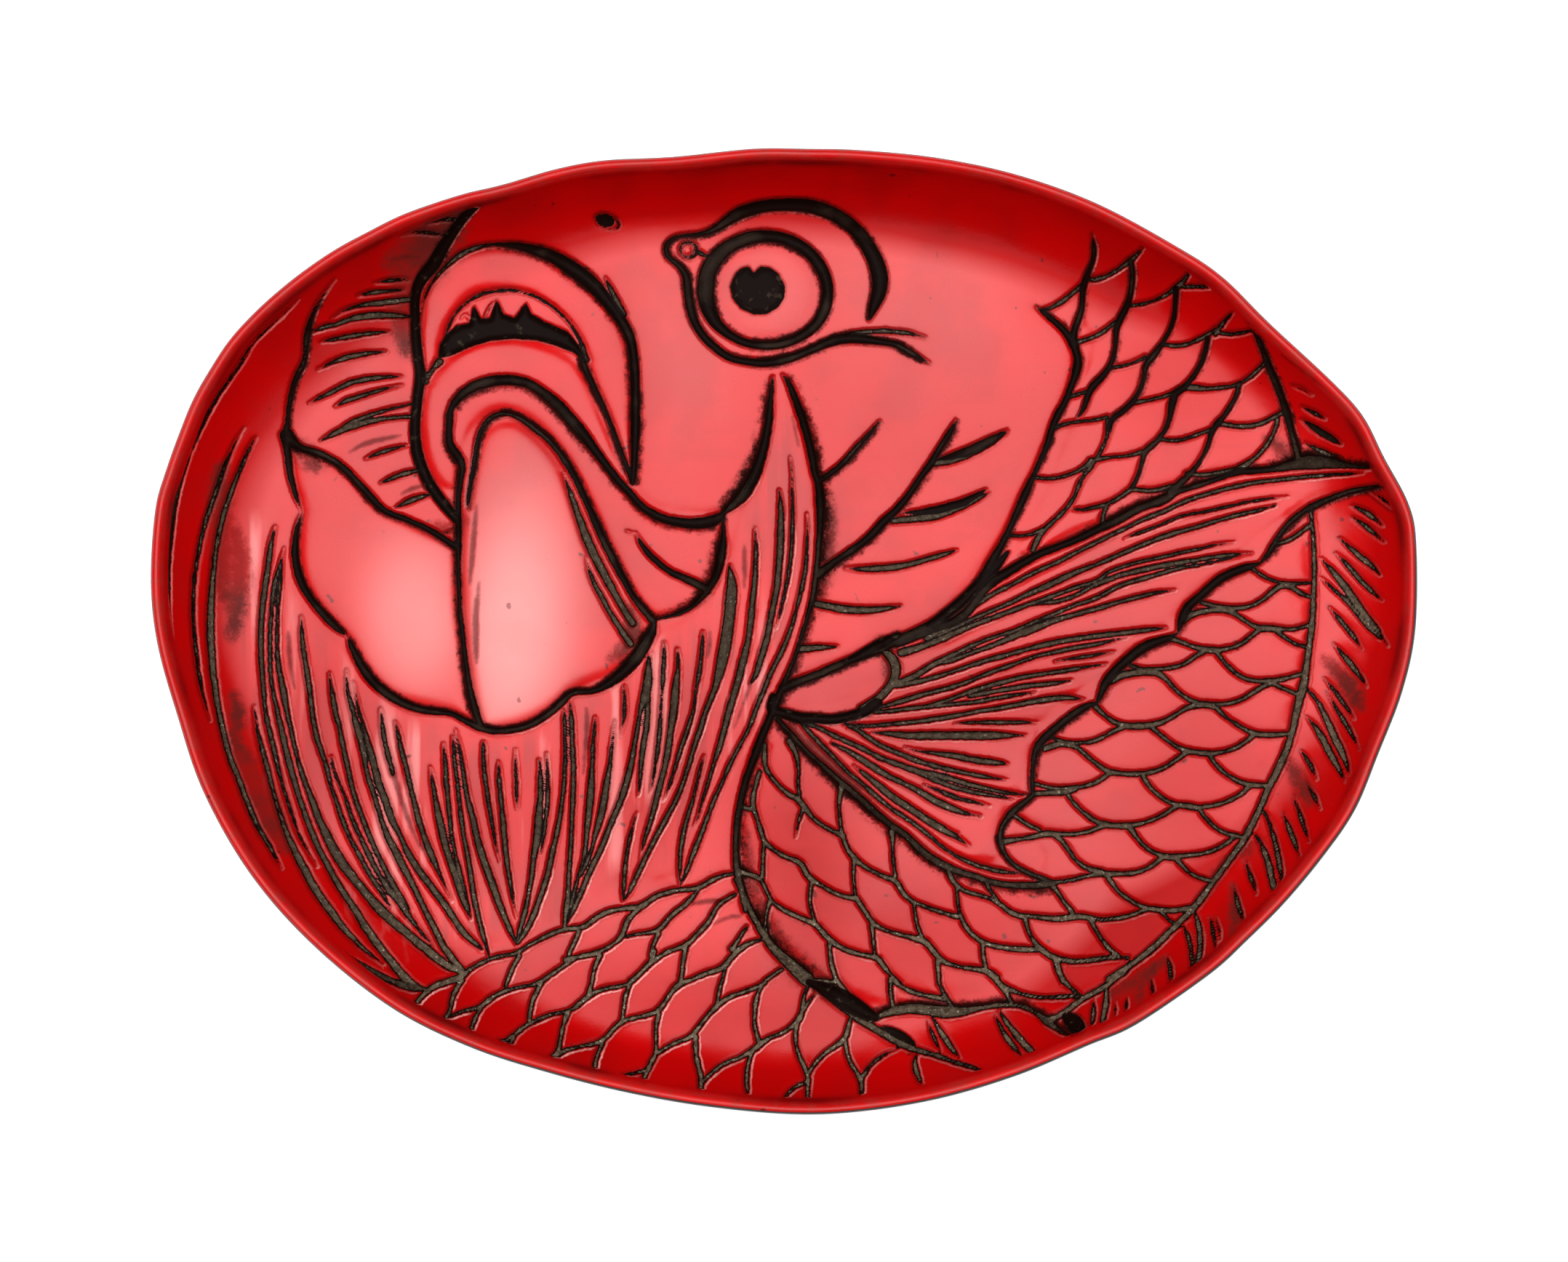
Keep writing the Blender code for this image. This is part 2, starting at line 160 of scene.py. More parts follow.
# Cuts: (kind, "x,y,width ..."), in sheet units. "" groove, r faint scratch, s wide striated cut, f and E outline of a
# carved mass (with the side and distance that pigment is rubbed over), B filled with black, m soft stain.
STROKES = [
# rim crease, left
("f", "411,411,2 383,438,5 352,466,6 335,493,7 311,528,7 293,556,7 280,580,8 264,614,8 255,638,9 242,686,9 236,731,9 232,772,9 231,814,9 232,855,9 237,903,9 245,938,8 256,972,7 268,1014,6 276,1048,5 290,1085,5 307,1118,7 328,1152,7 349,1183,7 369,1214,8 393,1242,9 424,1273,9 456,1301,10 483,1318,11 514,1335,11 545,1350,12 566,1357,13 587,1359,8"),
# strands, left to right
("", "336,587,2 324,607,5 311,636,8 297,676,9 283,717,9 274,755,8 268,793,8 266,835,8 268,876,8 273,917,8 278,948,7 285,972,5 290,990,2"),
("", "353,600,3 345,612,7 329,648,9 311,696,10 302,731,10 296,765,10 292,807,11 290,848,13 291,890,13 294,928,12 300,969,11 307,1003,11 316,1038,11 329,1070,11 338,1095,11 355,1135,10 372,1163,9 380,1180,7 389,1193,3"),
("", "350,969,3 351,975,5 354,1000,7 360,1025,9 367,1050,10.5 373,1075,9 380,1100,9 388,1125,10.5 397,1150,10.5 409,1175,13 422,1200,14 436,1225,14 454,1250,14 473,1275,12 497,1300,9 515,1315,7 528,1325,3"),
("", "379,722,3 376,734,7 372.5,750,10 369.5,775,11 366,800,11 362.5,825,11 360,850,11 359,875,11 359.5,900,10.5 361,925,10 363,950,9 365,975,9 370,1000,10 376,1025,10.5 382,1050,10 388,1075,8 396,1100,8 404,1125,6.5 413,1150,6.5 426,1172,5 437,1190,3"),
("", "391.5,752,2 388,766,5 383,785,9 378,800,10 375,825,9 373,850,9 372,875,9 372,900,9 372.5,925,9 376,950,8.5 381.5,975,9.5 387,1000,11.5 392.5,1025,11.5 399,1050,12 406,1075,11 413.5,1100,11 422.5,1125,11 432,1150,11.5 444,1175,11 457,1200,11 472,1225,12.5 489,1250,12.5 504,1275,14 522,1300,14 542,1325,14 564,1350,15 584,1359,6"),
("", "389,772,3 386,800,8 383,825,8 382,850,8 381.5,875,9 382,900,9 385,925,10 390.5,950,12 394.5,975,10 400,1000,9 405.5,1025,8 412,1050,9 420,1075,10 430,1100,11.5 439,1125,13 451,1150,15 464,1175,17 482,1200,16 502,1225,14.5 524,1250,17 552,1275,15 582,1300,15 613,1325,14 639,1337,9"),
("r", "397,867,2 398,875,5 398.5,900,7 402,925,5 406,945,2"),
("", "415,846,3 415.5,860,6 416,875,9 419,900,10 423,925,10 426.5,950,10 429.5,975,10 433,1000,10 440,1025,10 449,1050,9.5 454.5,1075,8 463,1100,9 471,1125,10 481,1150,9 495,1175,10 508,1200,9.5 525,1225,10 538,1247,4"),
("", "456,1039,4 458,1050,7 460,1060,7 467,1075,6.5 477,1100,8 485,1125,9 496.5,1150,9 508,1175,10 521,1200,10 537,1225,12 551,1240,13 557,1250,12 575,1275,8 594,1297,4 599,1304,2"),
("", "453.5,925,4 457,950,9 461,975,11 467.5,1000,10 472,1025,10 478,1050,10 483,1075,10 490,1100,10 499.5,1125,10 509.5,1150,10 520.5,1175,10 533,1200,11 547,1225,11 559,1243,9 566,1252,3"),
("", "477,920,3 479,950,8 485.5,975,9 492,1000,12 499,1025,12 503,1050,10 509,1075,10 517.5,1100,10 525,1125,10 534.5,1150,12 547.5,1175,14 560,1200,12.5 573,1225,11 585,1250,11 598,1275,12 610,1300,12.5 627,1322,13 641,1336,8"),
("", "487,936,2 490,956,5 494,976,6 501,1000,8 508,1025,11 515,1050,13 521,1075,13 531,1100,13 539,1125,13 552,1150,10 563,1175,12 580,1200,13 599,1225,12.5 617.5,1250,12.5 633,1275,12 647,1290,11 663,1303,7"),
("", "524,973,4 527,1000,9 531,1025,10 538,1050,10 541,1063,8"),
("r", "539,1055,8 545.5,1075,8 553,1100,7 562,1125,6 572,1150,5 582,1166,3"),
("", "544,991,3 546.5,1000,7 551,1025,9 558,1050,10 563.5,1075,10 570,1100,10 576,1125,11 584,1150,11 594,1175,12 605,1200,8 616,1225,4 622,1238,2"),
("", "592,1053,3 595.5,1075,8 599.5,1100,10 605,1125,13 610,1150,13 617,1175,13 626,1200,13 634,1225,13 641,1245,10 648,1262,4"),
("", "610,1021,4 613,1050,9 614,1075,10 617,1100,9 619,1125,9 622,1150,9 627,1175,8 633,1200,10 640,1225,8 648,1258,4"),
("", "623,1011,4 624.5,1025,8 626,1050,9 629.5,1075,9 632,1100,9 635,1125,10 638.5,1150,9 643.5,1175,10 647.5,1200,10 651,1225,11 656,1250,10 662,1275,9 668,1295,8 673,1312,5"),
("", "627,1002,3 632,1025,7 636,1050,9 639.5,1075,9 644,1100,10 651,1125,11 656,1150,12 663.5,1175,13 672.5,1200,13 681,1225,13 691,1252,12 703,1280,10 711,1296,6"),
("", "665,1019,5 665,1030,8 665.5,1050,9 668.5,1075,9 672,1100,9 676,1125,8 680.5,1150,7 684,1170,4 688,1184,2"),
("", "686,1046,3 686.5,1060,8 687,1075,9 689.5,1100,9 692,1125,10 694,1150,11 696.5,1175,10 700,1200,9 704,1225,8 707,1244,5 711,1262,2"),
("", "709,1029,3 709.5,1050,7 710.5,1075,8 711,1100,6 711.5,1111,3"),
("", "742,1044,5 743,1050,7 743.5,1075,10 743.5,1100,11 741,1125,14 739.5,1150,14 735,1175,11 732,1200,10 728,1225,9 723,1250,10 716,1275,9 711,1295,6"),
("", "752,1035,4 753,1050,6 754,1075,8 753.5,1100,9 751,1125,8 748,1150,8 744,1171,4"),
("", "775,972,3 777,985,8 777.5,1025,8 777.5,1050,9 776,1075,9 773.5,1100,9 770,1125,9.5 765,1150,10 759,1175,11 754,1200,11 746,1225,11 737,1250,11 726,1275,11 713,1295,7"),
("", "784,964,3 786,985,9 787.5,1025,10 789,1050,10 789,1075,10 788,1100,10 787,1125,9 786,1150,9 784.5,1175,9 783,1200,9 782,1225,10 779,1250,11 777,1272,8"),
# fin, upper left
("fE6", "461,383,2 445,404,5 435,421,7 428,438,9 423,455,11 421,469,10 420,487,8 417,500,9 409,514,10 402,535,9 398,555,9 396,576,8 394,592,12 397,606,20"),
("B", "677,255,8 656,279,11 634,303,12 610,338,15 597,362,18 580,382,16 572,402,13 571,424,13 572,452,13 575,486,13 578,515,13 574,552,13 571,587,14 574,621,15 586,655,15 601,679,15 615,697,14 628,712,13"),
("", "596,286,2 603,281,4 613,282,3 623,289,2"),
("", "588,306,3 605,301,7 620,300,9 636,302,6"),
("", "552,323,2 569,318,6 586,318,9 604,320,7 622,323,4"),
("r", "540,356,2 556,352,6 576,352,4"),
("", "515,388,2 532,385,8 552,383,7 564,384,4"),
("", "492,406,3 510,401,9 532,399,8 556,397,5"),
("", "456,438,2 473,426,6 493,419,8 515,416,11 540,413,11 566,410,9"),
("", "428,457,3 443,449,9 462,445,9 483,437,10 505,433,13 530,432,12 563,434,7"),
("", "442,469,3 460,465,8 483,461,10 508,457,9 536,455,4"),
("", "438,507,3 455,498,8 478,490,10 503,485,9 531,482,4"),
("", "426,553,3 440,546,7 460,536,9 482,525,10 510,519,10 535,517,7 553,516,3"),
("", "461,558,3 475,550,9 495,544,9 520,536,8 553,528,3"),
("", "473,586,9 487,578,10 505,571,9 530,563,8 568,554,5"),
("", "441,605,3 452,599,8 470,590,12 490,583,12 512,577,11 540,573,8 575,571,8"),
("r", "481,621,2 495,612,6 512,606,7 535,601,6 552,597,2"),
("", "503,630,3 515,624,8 532,618,9 560,611,4"),
("", "524,663,3 535,658,8 555,650,10 583,644,7"),
("r", "553,678,2 566,671,7 590,664,3"),
("", "546,696,4 558,690,10 575,683,10 596,678,4"),
("", "605,736,3 614,731,5 626,727,3"),
# jaw lobe
("E4", "395,598,22 394,607,14 397,628,13 400,655,11 407,679,9 415,702,3"),
("fS7", "398,602,16 413,614,12 438,621,11 466,636,11 487,656,11 507,678,12 528,700,11 555,711,10 583,723,10 604,735,11 628,751,11"),
("fE6", "415,704,3 409,722,8 406,752,12 408,776,13 415,800,13 429,824,12 446,845,12 462,861,11 476,873,4"),
("fN6", "478,873,3 483,886,9 495,911,13 511,934,14 530,951,14 552,965,13 576,974,12 600,978,10 622,980,9 638,989,10 660,999,12 682,1004,11 706,1002,11 727,997,11 752,983,11 772,966,11 788,951,10 812,950,9 833,942,13 856,924,18 876,904,19 887,886,18 897,868,14 901,852,7"),
("fW8", "620,570,11 618,597,12 620,612,13 630,626,15 637,640,11 634,660,10 631,688,10 631,717,11 631,746,11 631,776,9 632,805,9 633,835,8 636,864,9 639,893,9 643,923,10 648,952,11 654,975,13 662,997,10"),
("fS10", "625,553,13 634,542,13 651,530,15 673,523,16 702,521,16 728,526,14 750,540,15 770,557,17 787,577,18 804,597,17 822,622,14 838,643,13 853,662,13 868,678,12 880,692,12 898,705,13 920,714,14 945,718,16 966,718,18 983,714,18 994,706,8"),
("fE6", "644,697,6 645,682,8 649,655,9 653,631,9 657,606,9 663,588,9 672,575,9 684,568,8 697,567,8 714,573,9 733,586,10 753,602,10 768,619,10 781,638,11 792,657,11 801,677,11 811,698,11 820,719,12 829,740,12 839,760,12 850,781,12 861,801,11 871,819,11 884,836,11 897,851,12"),
("", "775,649,2 780,664,6 787,682,10 795,705,12 804,730,14 813,752,15 823,772,15 834,793,14 846,815,13 859,838,12 871,856,12"),
("", "807,764,2 811,784,7 818,801,9 828,820,10 840,842,10 854,864,11 868,884,12"),
("r", "656,693,2 654,713,7 652,740,8 650,765,8 648,785,6 647,803,2"),
("r", "660,798,2 657,825,7 655,850,9 655,875,9 655,893,8 656,910,3"),
("f", "875,731,3 880,742,7 888,755,10 901,768,11 919,783,11 940,793,12 960,802,14 974,811,12"),
("", "863,729,3 869,731,3"),
("fW12", "994,706,6 996,730,8 994,752,14 990,776,13 983,796,13 972,813,10 957,829,9 939,841,8 919,847,6 902,851,5"),
# lips
("", "690,334,6 668,336,8 645,343,10 628,353,10 612,367,8 597,384,6 585,406,5 579,431,4 577,460,5 580,490,6 588,524,8"),
("fS9", "672,335,6 690,335,8 709,336,11 739,343,15 762,352,19 783,365,23 804,380,23 821,396,22 836,414,19 849,431,17 861,449,15 869,470,14 873,499,14 874,528,14 874,558,14 874,587,15 873,615,12 872,640,11 870,662,9"),
("", "833,381,3 838,391,9 844,404,10 850,416,12 858,431,11"),
("fW7", "800,490,7 805,504,11 812,520,10 822,540,9 834,566,8 845,594,8 855,620,8 863,641,8 869,660,7"),
("", "605,496,13 597,505,9 590,515,9 585,526,8"),
# strands, right half
("r", "807,973,4 808,1000,7 806,1025,6 804,1045,4 803,1062,2"),
("", "819,984,3 818,1000,7 815.5,1025,9 815,1050,9 813.5,1075,12 812,1100,13 809.5,1125,12 807,1150,10 804,1175,8 797,1200,8 791,1222,8 785,1247,7 779,1268,4"),
("", "846,990,3 844,1008,5 842,1025,7 840,1038,8 839.5,1050,8 835,1075,12 831,1100,13 825.5,1125,12.5 818,1150,9 813,1172,7 805,1190,10 797,1205,6"),
("", "892,897,4 892,925,14 889.5,950,16 881,975,10 877.5,1000,9 872.5,1025,10 868.5,1050,11 862,1075,12 854,1100,11 843,1125,11 833.5,1150,10 822.5,1175,11 810,1200,11 800,1225,10 789,1250,9 779,1270,5"),
("", "897,895,3 895,925,6 894,950,6 891,975,11 889.5,1000,11 885,1025,11 882,1050,9 880.5,1075,7 878.5,1092,3"),
("", "858,941,4 859,950,7 859.5,975,8 858,990,6 853,1010,2"),
("", "913.5,882,4 914,900,8 912.5,925,9 911,950,7 909,975,7 908,1000,9 905.5,1025,9 902,1050,7 898,1075,6 895,1088,2"),
("", "932,891,4 933,910,8 932,925,10 929,950,14 927,975,14 923,1000,12 920,1025,12 915.5,1050,11 909,1075,11 902.5,1100,11 896,1125,10 888,1150,9 884,1165,6 881,1179,2"),
("", "967,867,4 967,875,7 965,900,8 962,925,9 957,950,7 954,975,7 946.5,1000,9 937.5,1025,9 930,1050,8 922.5,1075,7 913,1099,2"),
("r", "977,868,3 977,885,6 973,902,3"),
("s", "1003,777,5 1007,800,16 1005.5,825,19 1003,850,18 999.5,875,19 995,900,19 989.5,925,15 982,950,11 971.5,975,10 964,1000,10 955,1025,10 948,1050,9 940,1075,9 929.5,1100,10 916,1125,10 902.5,1150,10 889.5,1175,10 878,1200,10 866,1225,8 858,1237,4"),
("", "876,1117,3 873,1125,5 867,1150,8 862,1175,8 859.5,1200,9 858,1225,8 857.5,1237,5"),
("r", "1024,749,3 1024.5,765,7 1024.5,785,6 1024,806,3"),
("", "1038,725,3 1040,750,8 1039.5,775,9 1038,800,10 1035.5,825,11 1033,850,12 1030,875,11 1024.5,900,13 1018,925,13 1011,950,12 1003.5,975,13 997,1000,11 990,1025,11 981.5,1050,8 974.5,1075,8 966,1100,7 959.5,1125,5 954,1135,2"),
("", "968,1038,3 965,1050,7 958.5,1075,7 953,1100,8 945,1125,9 939,1150,10 936,1175,9 935,1200,7 936,1218,3"),
("", "1072,673,4 1074.5,700,11 1074,725,12 1073.5,750,13 1071.5,775,11 1070,800,12 1065.5,825,11 1060,850,11 1056,875,12 1048,900,12 1041,925,10 1033,938,5"),
("r", "1033,938,5 1027,955,4 1018,980,3 1010,1000,2"),
("", "1087,627,2 1088.5,640,4 1089.5,650,4 1090,675,6 1090.5,700,7 1090,725,8 1089,750,8 1087,775,8 1082.5,800,8 1077,825,7 1071,850,5 1068,862,2"),
("", "1110,705,3 1111.5,725,5 1110,750,7 1109,775,8 1104.5,800,9 1099,825,8 1092,850,8 1084,875,10 1073,900,10 1060,925,10 1050.5,950,10 1039.5,975,9 1031,1000,9 1017,1025,8 1004,1050,9 993.5,1075,8 982,1100,9 972.5,1125,9 963,1150,10 953,1175,10 943.5,1200,8 936,1216,4"),
("r", "1090,572,2 1094,590,3 1099,612,2"),
("fW14", "1063,518,5 1062,535,8 1060,552,10 1058,575,13 1054,600,14 1048,625,16 1039,650,18 1026,675,18 1012,690,15 997,703,8"),
("fE12", "1076,514,3 1085,526,10 1095,550,12 1104,575,13 1111,600,13 1117,625,13 1121,650,12 1126,663,12 1128,680,15 1128.5,700,13 1128,725,11 1126,750,10 1124,775,10 1121,800,11 1117,825,10 1110,850,9 1102,875,8 1094,900,8 1084,925,9 1073.5,950,12 1064,975,14 1053,1000,13 1043,1025,14 1034,1050,13 1025,1075,12 1019,1100,12 1014.5,1125,12 1012.5,1150,11 1012,1175,11 1015,1200,13 1020,1225,12 1026,1250,10"),
# gill lines and dashes
("fS8", "1210,578,4 1197,593,7 1178,614,9 1160,635,10 1143,649,10 1128,659,10"),
("fS10", "1315,576,4 1306,594,10 1293,614,10 1281,635,12 1266,655,10 1250,679,11 1234,699,12 1216,715,14 1199,734,13 1181,749,12 1158,764,11 1140,777,12 1125,789,14"),
("", "1385,590,3 1375,598,11 1352,611,17 1328,623,16 1305,632,14 1285,636,10"),
("", "1360,677,3 1346,683,11 1322,694,14 1299,704,14 1275,710,14 1246,713,12 1228,715,10"),
("", "1316,755,3 1299,761,9 1275,768,10 1246,776,11 1216,780,12 1187,781,10 1163,780,4"),
("", "1239,832,4 1222,835,9 1193,838,13 1158,836,14 1128,830,12 1118,828,10"),
("", "1151,888,5 1128,889,11 1102,891,13"),
("fE7", "1425,421,3 1433,427,7 1447,438,10 1464,453,12 1474,469,12 1482,487,13 1482,505,14 1474,528,11 1466,549,11 1455,569,12 1447,587,11 1441,608,11 1431,632,9 1422,652,9 1411,676,13 1399,702,11 1387,729,10 1377,749,12 1363,773,14 1349,796,13 1331,820,13 1310,838,13 1290,852,14 1263,866,13 1234,879,14 1210,891,13 1181,902,12 1152,914,13 1125,926,13 1099,935,13 1077,945,16"),
("", "1214,893,8 1224,900,16 1232,911,17 1232,929,16 1219,949,14 1202,964,14 1184,972,10"),
# eye
("fI8", "970,400,25 974,372,24 987,351,22 1005,336,19 1030,326,19 1055,323,18 1080,327,18 1103,338,18 1122,355,18 1135,378,18 1139,402,17 1134,427,16 1120,448,15 1099,463,14 1075,472,13 1050,474,13 1025,470,13 1003,459,14 985,443,18 974,422,23 970,400,25"),
("", "975,352,6 968,350,8 962,346,9"),
("fI6", "1196,438,6 1203,418,17 1209,402,22 1211,388,24 1209,372,25 1203,354,23 1193,336,22 1180,318,21 1163,303,20 1140,290,20 1110,281,20 1075,280,19 1045,283,19 1021,290,18 1003,300,15 988,311,11 974,318,9 956,322,8 936,323,7 922,329,8 915,340,9 920,353,9 933,363,9 943,376,12 946,396,13 949,419,13 955,440,13 967,460,13 983,476,13 1003,490,12 1027,496,12 1050,498,13 1074,495,13 1097,488,12 1121,478,12 1142,469,14 1162,464,16 1180,464,16 1196,466,14 1214,469,11 1232,472,11 1249,481,10 1264,490,8 1279,498,3"),
("", "1170,457,8 1190,455,9 1214,454,9 1235,455,9 1252,457,8 1274,463,3"),
# scales, upper right
("E", "1502,321,3 1505,337,8 1504,355,8 1499,369,8 1493,384,11 1489,399,11 1489,414,9 1486,431,10 1479,449,11 1476,464,13 1480,477,11"),
("", "1431,425,4 1438,425,8 1452,419,9 1467,409,9 1479,399,8 1487,392,9"),
("", "1496,383,9 1511,383,9 1529,375,8 1543,366,8 1555,357,10 1564,349,8 1572,339,4"),
("E", "1555,358,9 1558,372,9 1557,390,9 1554,408,9 1549,422,11 1541,437,12 1535,452,10 1535,469,8 1532,487,8 1527,502,9 1517,516,11 1505,528,13 1497,540,11 1493,555,10 1486,569,6 1480,577,4"),
("", "1480,470,10 1496,465,8 1514,458,9 1527,447,8 1535,442,9"),
("", "1551,419,8 1567,418,8 1585,413,7 1602,406,8 1614,397,9 1624,389,10 1632,380,8 1640,367,4"),
("", "1624,393,8 1641,393,8 1658,393,8 1672,391,8 1688,387,7"),
("E", "1618,396,10 1617,413,9 1616,428,9 1613,443,9 1605,461,8 1596,475,9 1585,490,11 1576,500,10 1574,514,8 1571,528,8 1565,541,8 1555,555,10 1541,567,10 1529,575,10 1526,590,8"),
("", "1527,505,7 1543,502,7 1561,497,7 1576,490,8"),
("", "1600,472,8 1617,475,9 1635,472,8 1652,464,9 1663,459,9 1672,450,7"),
("E", "1661,464,9 1658,481,9 1652,499,9 1643,514,9 1632,528,10 1617,540,12 1611,552,11 1609,569,8 1604,587,8"),
("", "1555,554,9 1573,550,8 1590,547,8 1608,542,8 1623,533,9"),
("", "1631,531,10 1646,534,9 1664,533,9"),
("", "1467,546,8 1482,541,8 1494,537,8"),
("", "1452,587,8 1467,581,8 1487,578,8 1505,577,7 1523,572,8"),
# dorsal boundary and scales, upper right
("fE6", "1686,383,4 1698,402,8 1710,419,9 1720,440,9 1728,458,9 1737,481,9 1745,502,11 1755,525,11 1763,546,11 1770,566,13 1775,587,11 1781,608,11 1785,625,12 1788,637,10"),
("", "1672,458,9 1678,449,9 1686,438,8 1695,429,4"),
("", "1673,455,8 1686,458,8 1701,458,8 1716,455,7 1727,451,5"),
("", "1740,498,9 1728,510,8 1713,522,8 1698,529,8 1678,532,9 1660,533,9 1642,530,9 1628,531,12 1616,542,11"),
("E", "1704,528,10 1701,543,9 1692,558,9 1683,572,9 1674,582,12 1666,593,10 1663,608,9 1657,622,8 1648,637,8 1636,652,11 1622,664,12 1610,676,15"),
("", "1677,581,11 1695,584,9 1716,585,10 1733,582,9 1748,575,9 1764,566,9"),
("", "1757,575,9 1754,590,9 1745,607,9 1733,622,9 1720,634,9 1710,640,13 1700,647,12"),
("E", "1616,544,11 1613,561,8 1608,578,8 1601,593,9 1589,608,10 1575,619,11 1571,634,8 1566,652,8 1558,668,9"),
("", "1595,602,9 1613,605,8 1631,602,8 1648,596,8 1664,590,9"),
("", "1633,650,10 1651,652,9 1669,650,9 1686,647,9 1705,643,9"),
("", "1556,671,10 1577,674,9 1595,672,9 1612,667,9"),
("", "1500,697,7 1515,694,8 1532,688,9 1547,678,9 1557,671,10"),
("", "1500,632,10 1512,630,9 1529,627,7 1550,626,7 1571,620,9"),
("", "1525,578,12 1523,598,8 1516,616,8 1508,630,9 1498,644,9 1488,656,9 1483,668,8 1478,682,8 1468,697,9 1452,713,9 1436,728,10 1427,740,11 1421,755,10"),
("", "1425,655,8 1440,657,8 1458,655,8 1475,650,8 1490,643,9 1500,633,10"),
("", "1391,735,8 1405,736,8 1420,733,8 1434,727,9"),
("", "1478,699,7 1493,700,7 1500,698,7 1514,695,8"),
("", "1517,722,10 1517,706,9 1524,692,9"),
("", "1432,757,9 1447,752,8"),
# fin, upper edge and rays
("fN10", "1235,884,12 1262,874,12 1290,860,13 1322,849,14 1346,820,14 1363,799,18 1384,787,15 1407,773,14 1431,760,13 1452,752,12 1475,743,12 1499,732,13 1517,723,14 1540,713,14 1560,701,14 1577,694,13 1601,686,16 1619,675,10 1642,668,10 1666,660,10 1686,653,10 1707,647,12 1727,646,12 1748,644,12 1766,641,14 1783,637,18 1795,634,22 1810,634,23 1825,635,18 1842,637,14 1857,639,10 1877,641,8 1899,644,3"),
("", "1275,876,12 1296,864,13 1316,850,12 1340,832,10 1363,817,10 1393,802,9 1422,786,9 1452,773,9 1481,758,9 1511,743,9 1540,729,9 1560,719,9 1577,711,9 1601,702,9 1625,690,9 1654,680,9 1686,671,9 1722,663,9 1754,659,9 1789,655,9 1825,652,8 1854,650,6 1875,649,3"),
("", "1547,739,3 1562,733,7 1585,725,7 1606,716,7 1626,708,7 1653,703,7 1682,697,7 1712,690,7 1741,685,6 1771,682,2"),
("", "1290,873,9 1316,860,9 1340,849,9 1363,839,9 1387,829,9 1411,817,10 1434,807,12 1458,796,12 1481,785,10 1511,774,9 1529,766,9 1559,753,9 1588,741,10 1618,731,10 1647,723,9 1676,714,9 1706,706,9 1732,700,8 1754,694,4"),
("", "1240,896,14 1252,893,14 1275,885,12 1305,873,12 1334,860,10 1363,849,10 1393,838,10 1422,827,9 1452,817,9 1481,806,9 1511,797,8 1523,786,8 1547,777,8 1573,770,8 1603,764,8 1626,758,8 1653,753,7 1676,747,5 1697,744,2"),
("", "1400,836,5 1422,829,7 1452,826,9 1481,817,9 1500,806,9 1523,796,10 1547,788,10 1573,782,11 1600,776,11 1626,772,10 1656,767,9 1682,763,9 1722,759,3"),
("", "1230,939,11 1257,929,12 1281,914,11 1305,902,10 1334,888,9 1363,876,8 1393,867,9 1422,854,8 1452,842,9 1481,830,9 1511,820,9 1540,804,9 1573,794,9 1600,786,9 1626,779,8 1653,775,7 1680,769,6 1707,763,3"),
("", "1290,912,6 1305,908,10 1334,897,9 1363,887,10 1393,874,12 1422,863,14 1452,851,11 1481,843,10 1511,835,10 1541,826,9 1565,820,9 1588,814,8 1616,810,3"),
("", "1228,942,10 1252,938,11 1275,933,9 1305,924,9 1334,914,9 1363,905,10 1393,897,10 1422,889,10 1452,882,11 1481,877,10 1511,873,11 1544,869,10 1568,866,10 1588,864,7 1604,862,3"),
("", "1222,968,9 1246,961,10 1275,952,10 1305,945,10 1334,935,9 1363,923,9 1393,913,9 1422,902,8 1452,895,9 1481,889,9 1511,884,9 1530,879,6 1550,875,3"),
("", "1452,908,4 1475,904,7 1499,901,8 1517,897,6 1533,895,2"),
("", "1281,968,9 1305,961,9 1334,950,10 1363,941,10 1393,933,10 1422,927,9 1452,923,9 1481,918,9 1500,915,6 1521,912,3"),
("", "1334,956,9 1363,950,10 1393,945,10 1422,941,10 1452,938,9 1473,934,4"),
("", "1203,978,8 1227,976,9 1260,972,9 1289,969,9 1319,966,9 1348,963,9 1377,957,9 1401,954,8 1425,950,4"),
("", "1162,994,6 1186,997,9 1209,996,9 1239,993,9 1260,991,9 1289,987,10 1319,982,9 1348,976,9 1377,972,10 1407,966,10 1436,961,11 1466,958,10 1490,960,4"),
("", "1313,993,3 1342,992,8 1372,992,9 1401,992,8 1426,992,3"),
("", "1200,1006,5 1221,1007,9 1250,1010,13 1289,1010,14 1319,1010,14 1348,1010,15 1377,1010,12 1411,1010,3"),
("", "1245,1026,3 1260,1031,6 1283,1034,8 1313,1038,11 1342,1044,12 1369,1047,11 1386,1049,4"),
("", "1168,997,8 1183,1004,10 1198,1015,10 1215,1026,10 1239,1035,10 1260,1044,10 1283,1051,10 1307,1057,9 1330,1062,9 1357,1067,8 1384,1071,3"),
("", "1100,990,10 1124,998,9 1145,1009,10 1165,1018,10 1189,1029,10 1212,1041,11 1239,1051,11 1262,1058,10 1283,1063,11 1310,1070,11 1336,1078,10 1366,1085,9 1392,1090,8 1417,1092,4"),
("", "1240,1054,6 1260,1060,9 1283,1070,10 1307,1079,10 1333,1087,9 1363,1092,8 1393,1097,4"),
("", "1272,1078,4 1295,1087,9 1319,1097,9 1339,1101,8 1361,1107,3"),
("", "1145,1021,6 1168,1032,10 1192,1047,12 1215,1062,12 1239,1074,10 1262,1085,11 1281,1097,13 1304,1108,13 1325,1116,9 1349,1121,4"),
("", "1175,1051,4 1192,1065,10 1209,1079,12 1227,1094,13 1250,1109,13 1277,1127,13 1295,1138,13 1316,1150,9 1334,1162,3"),
("", "1287,1131,6 1300,1138,7 1317,1146,5"),
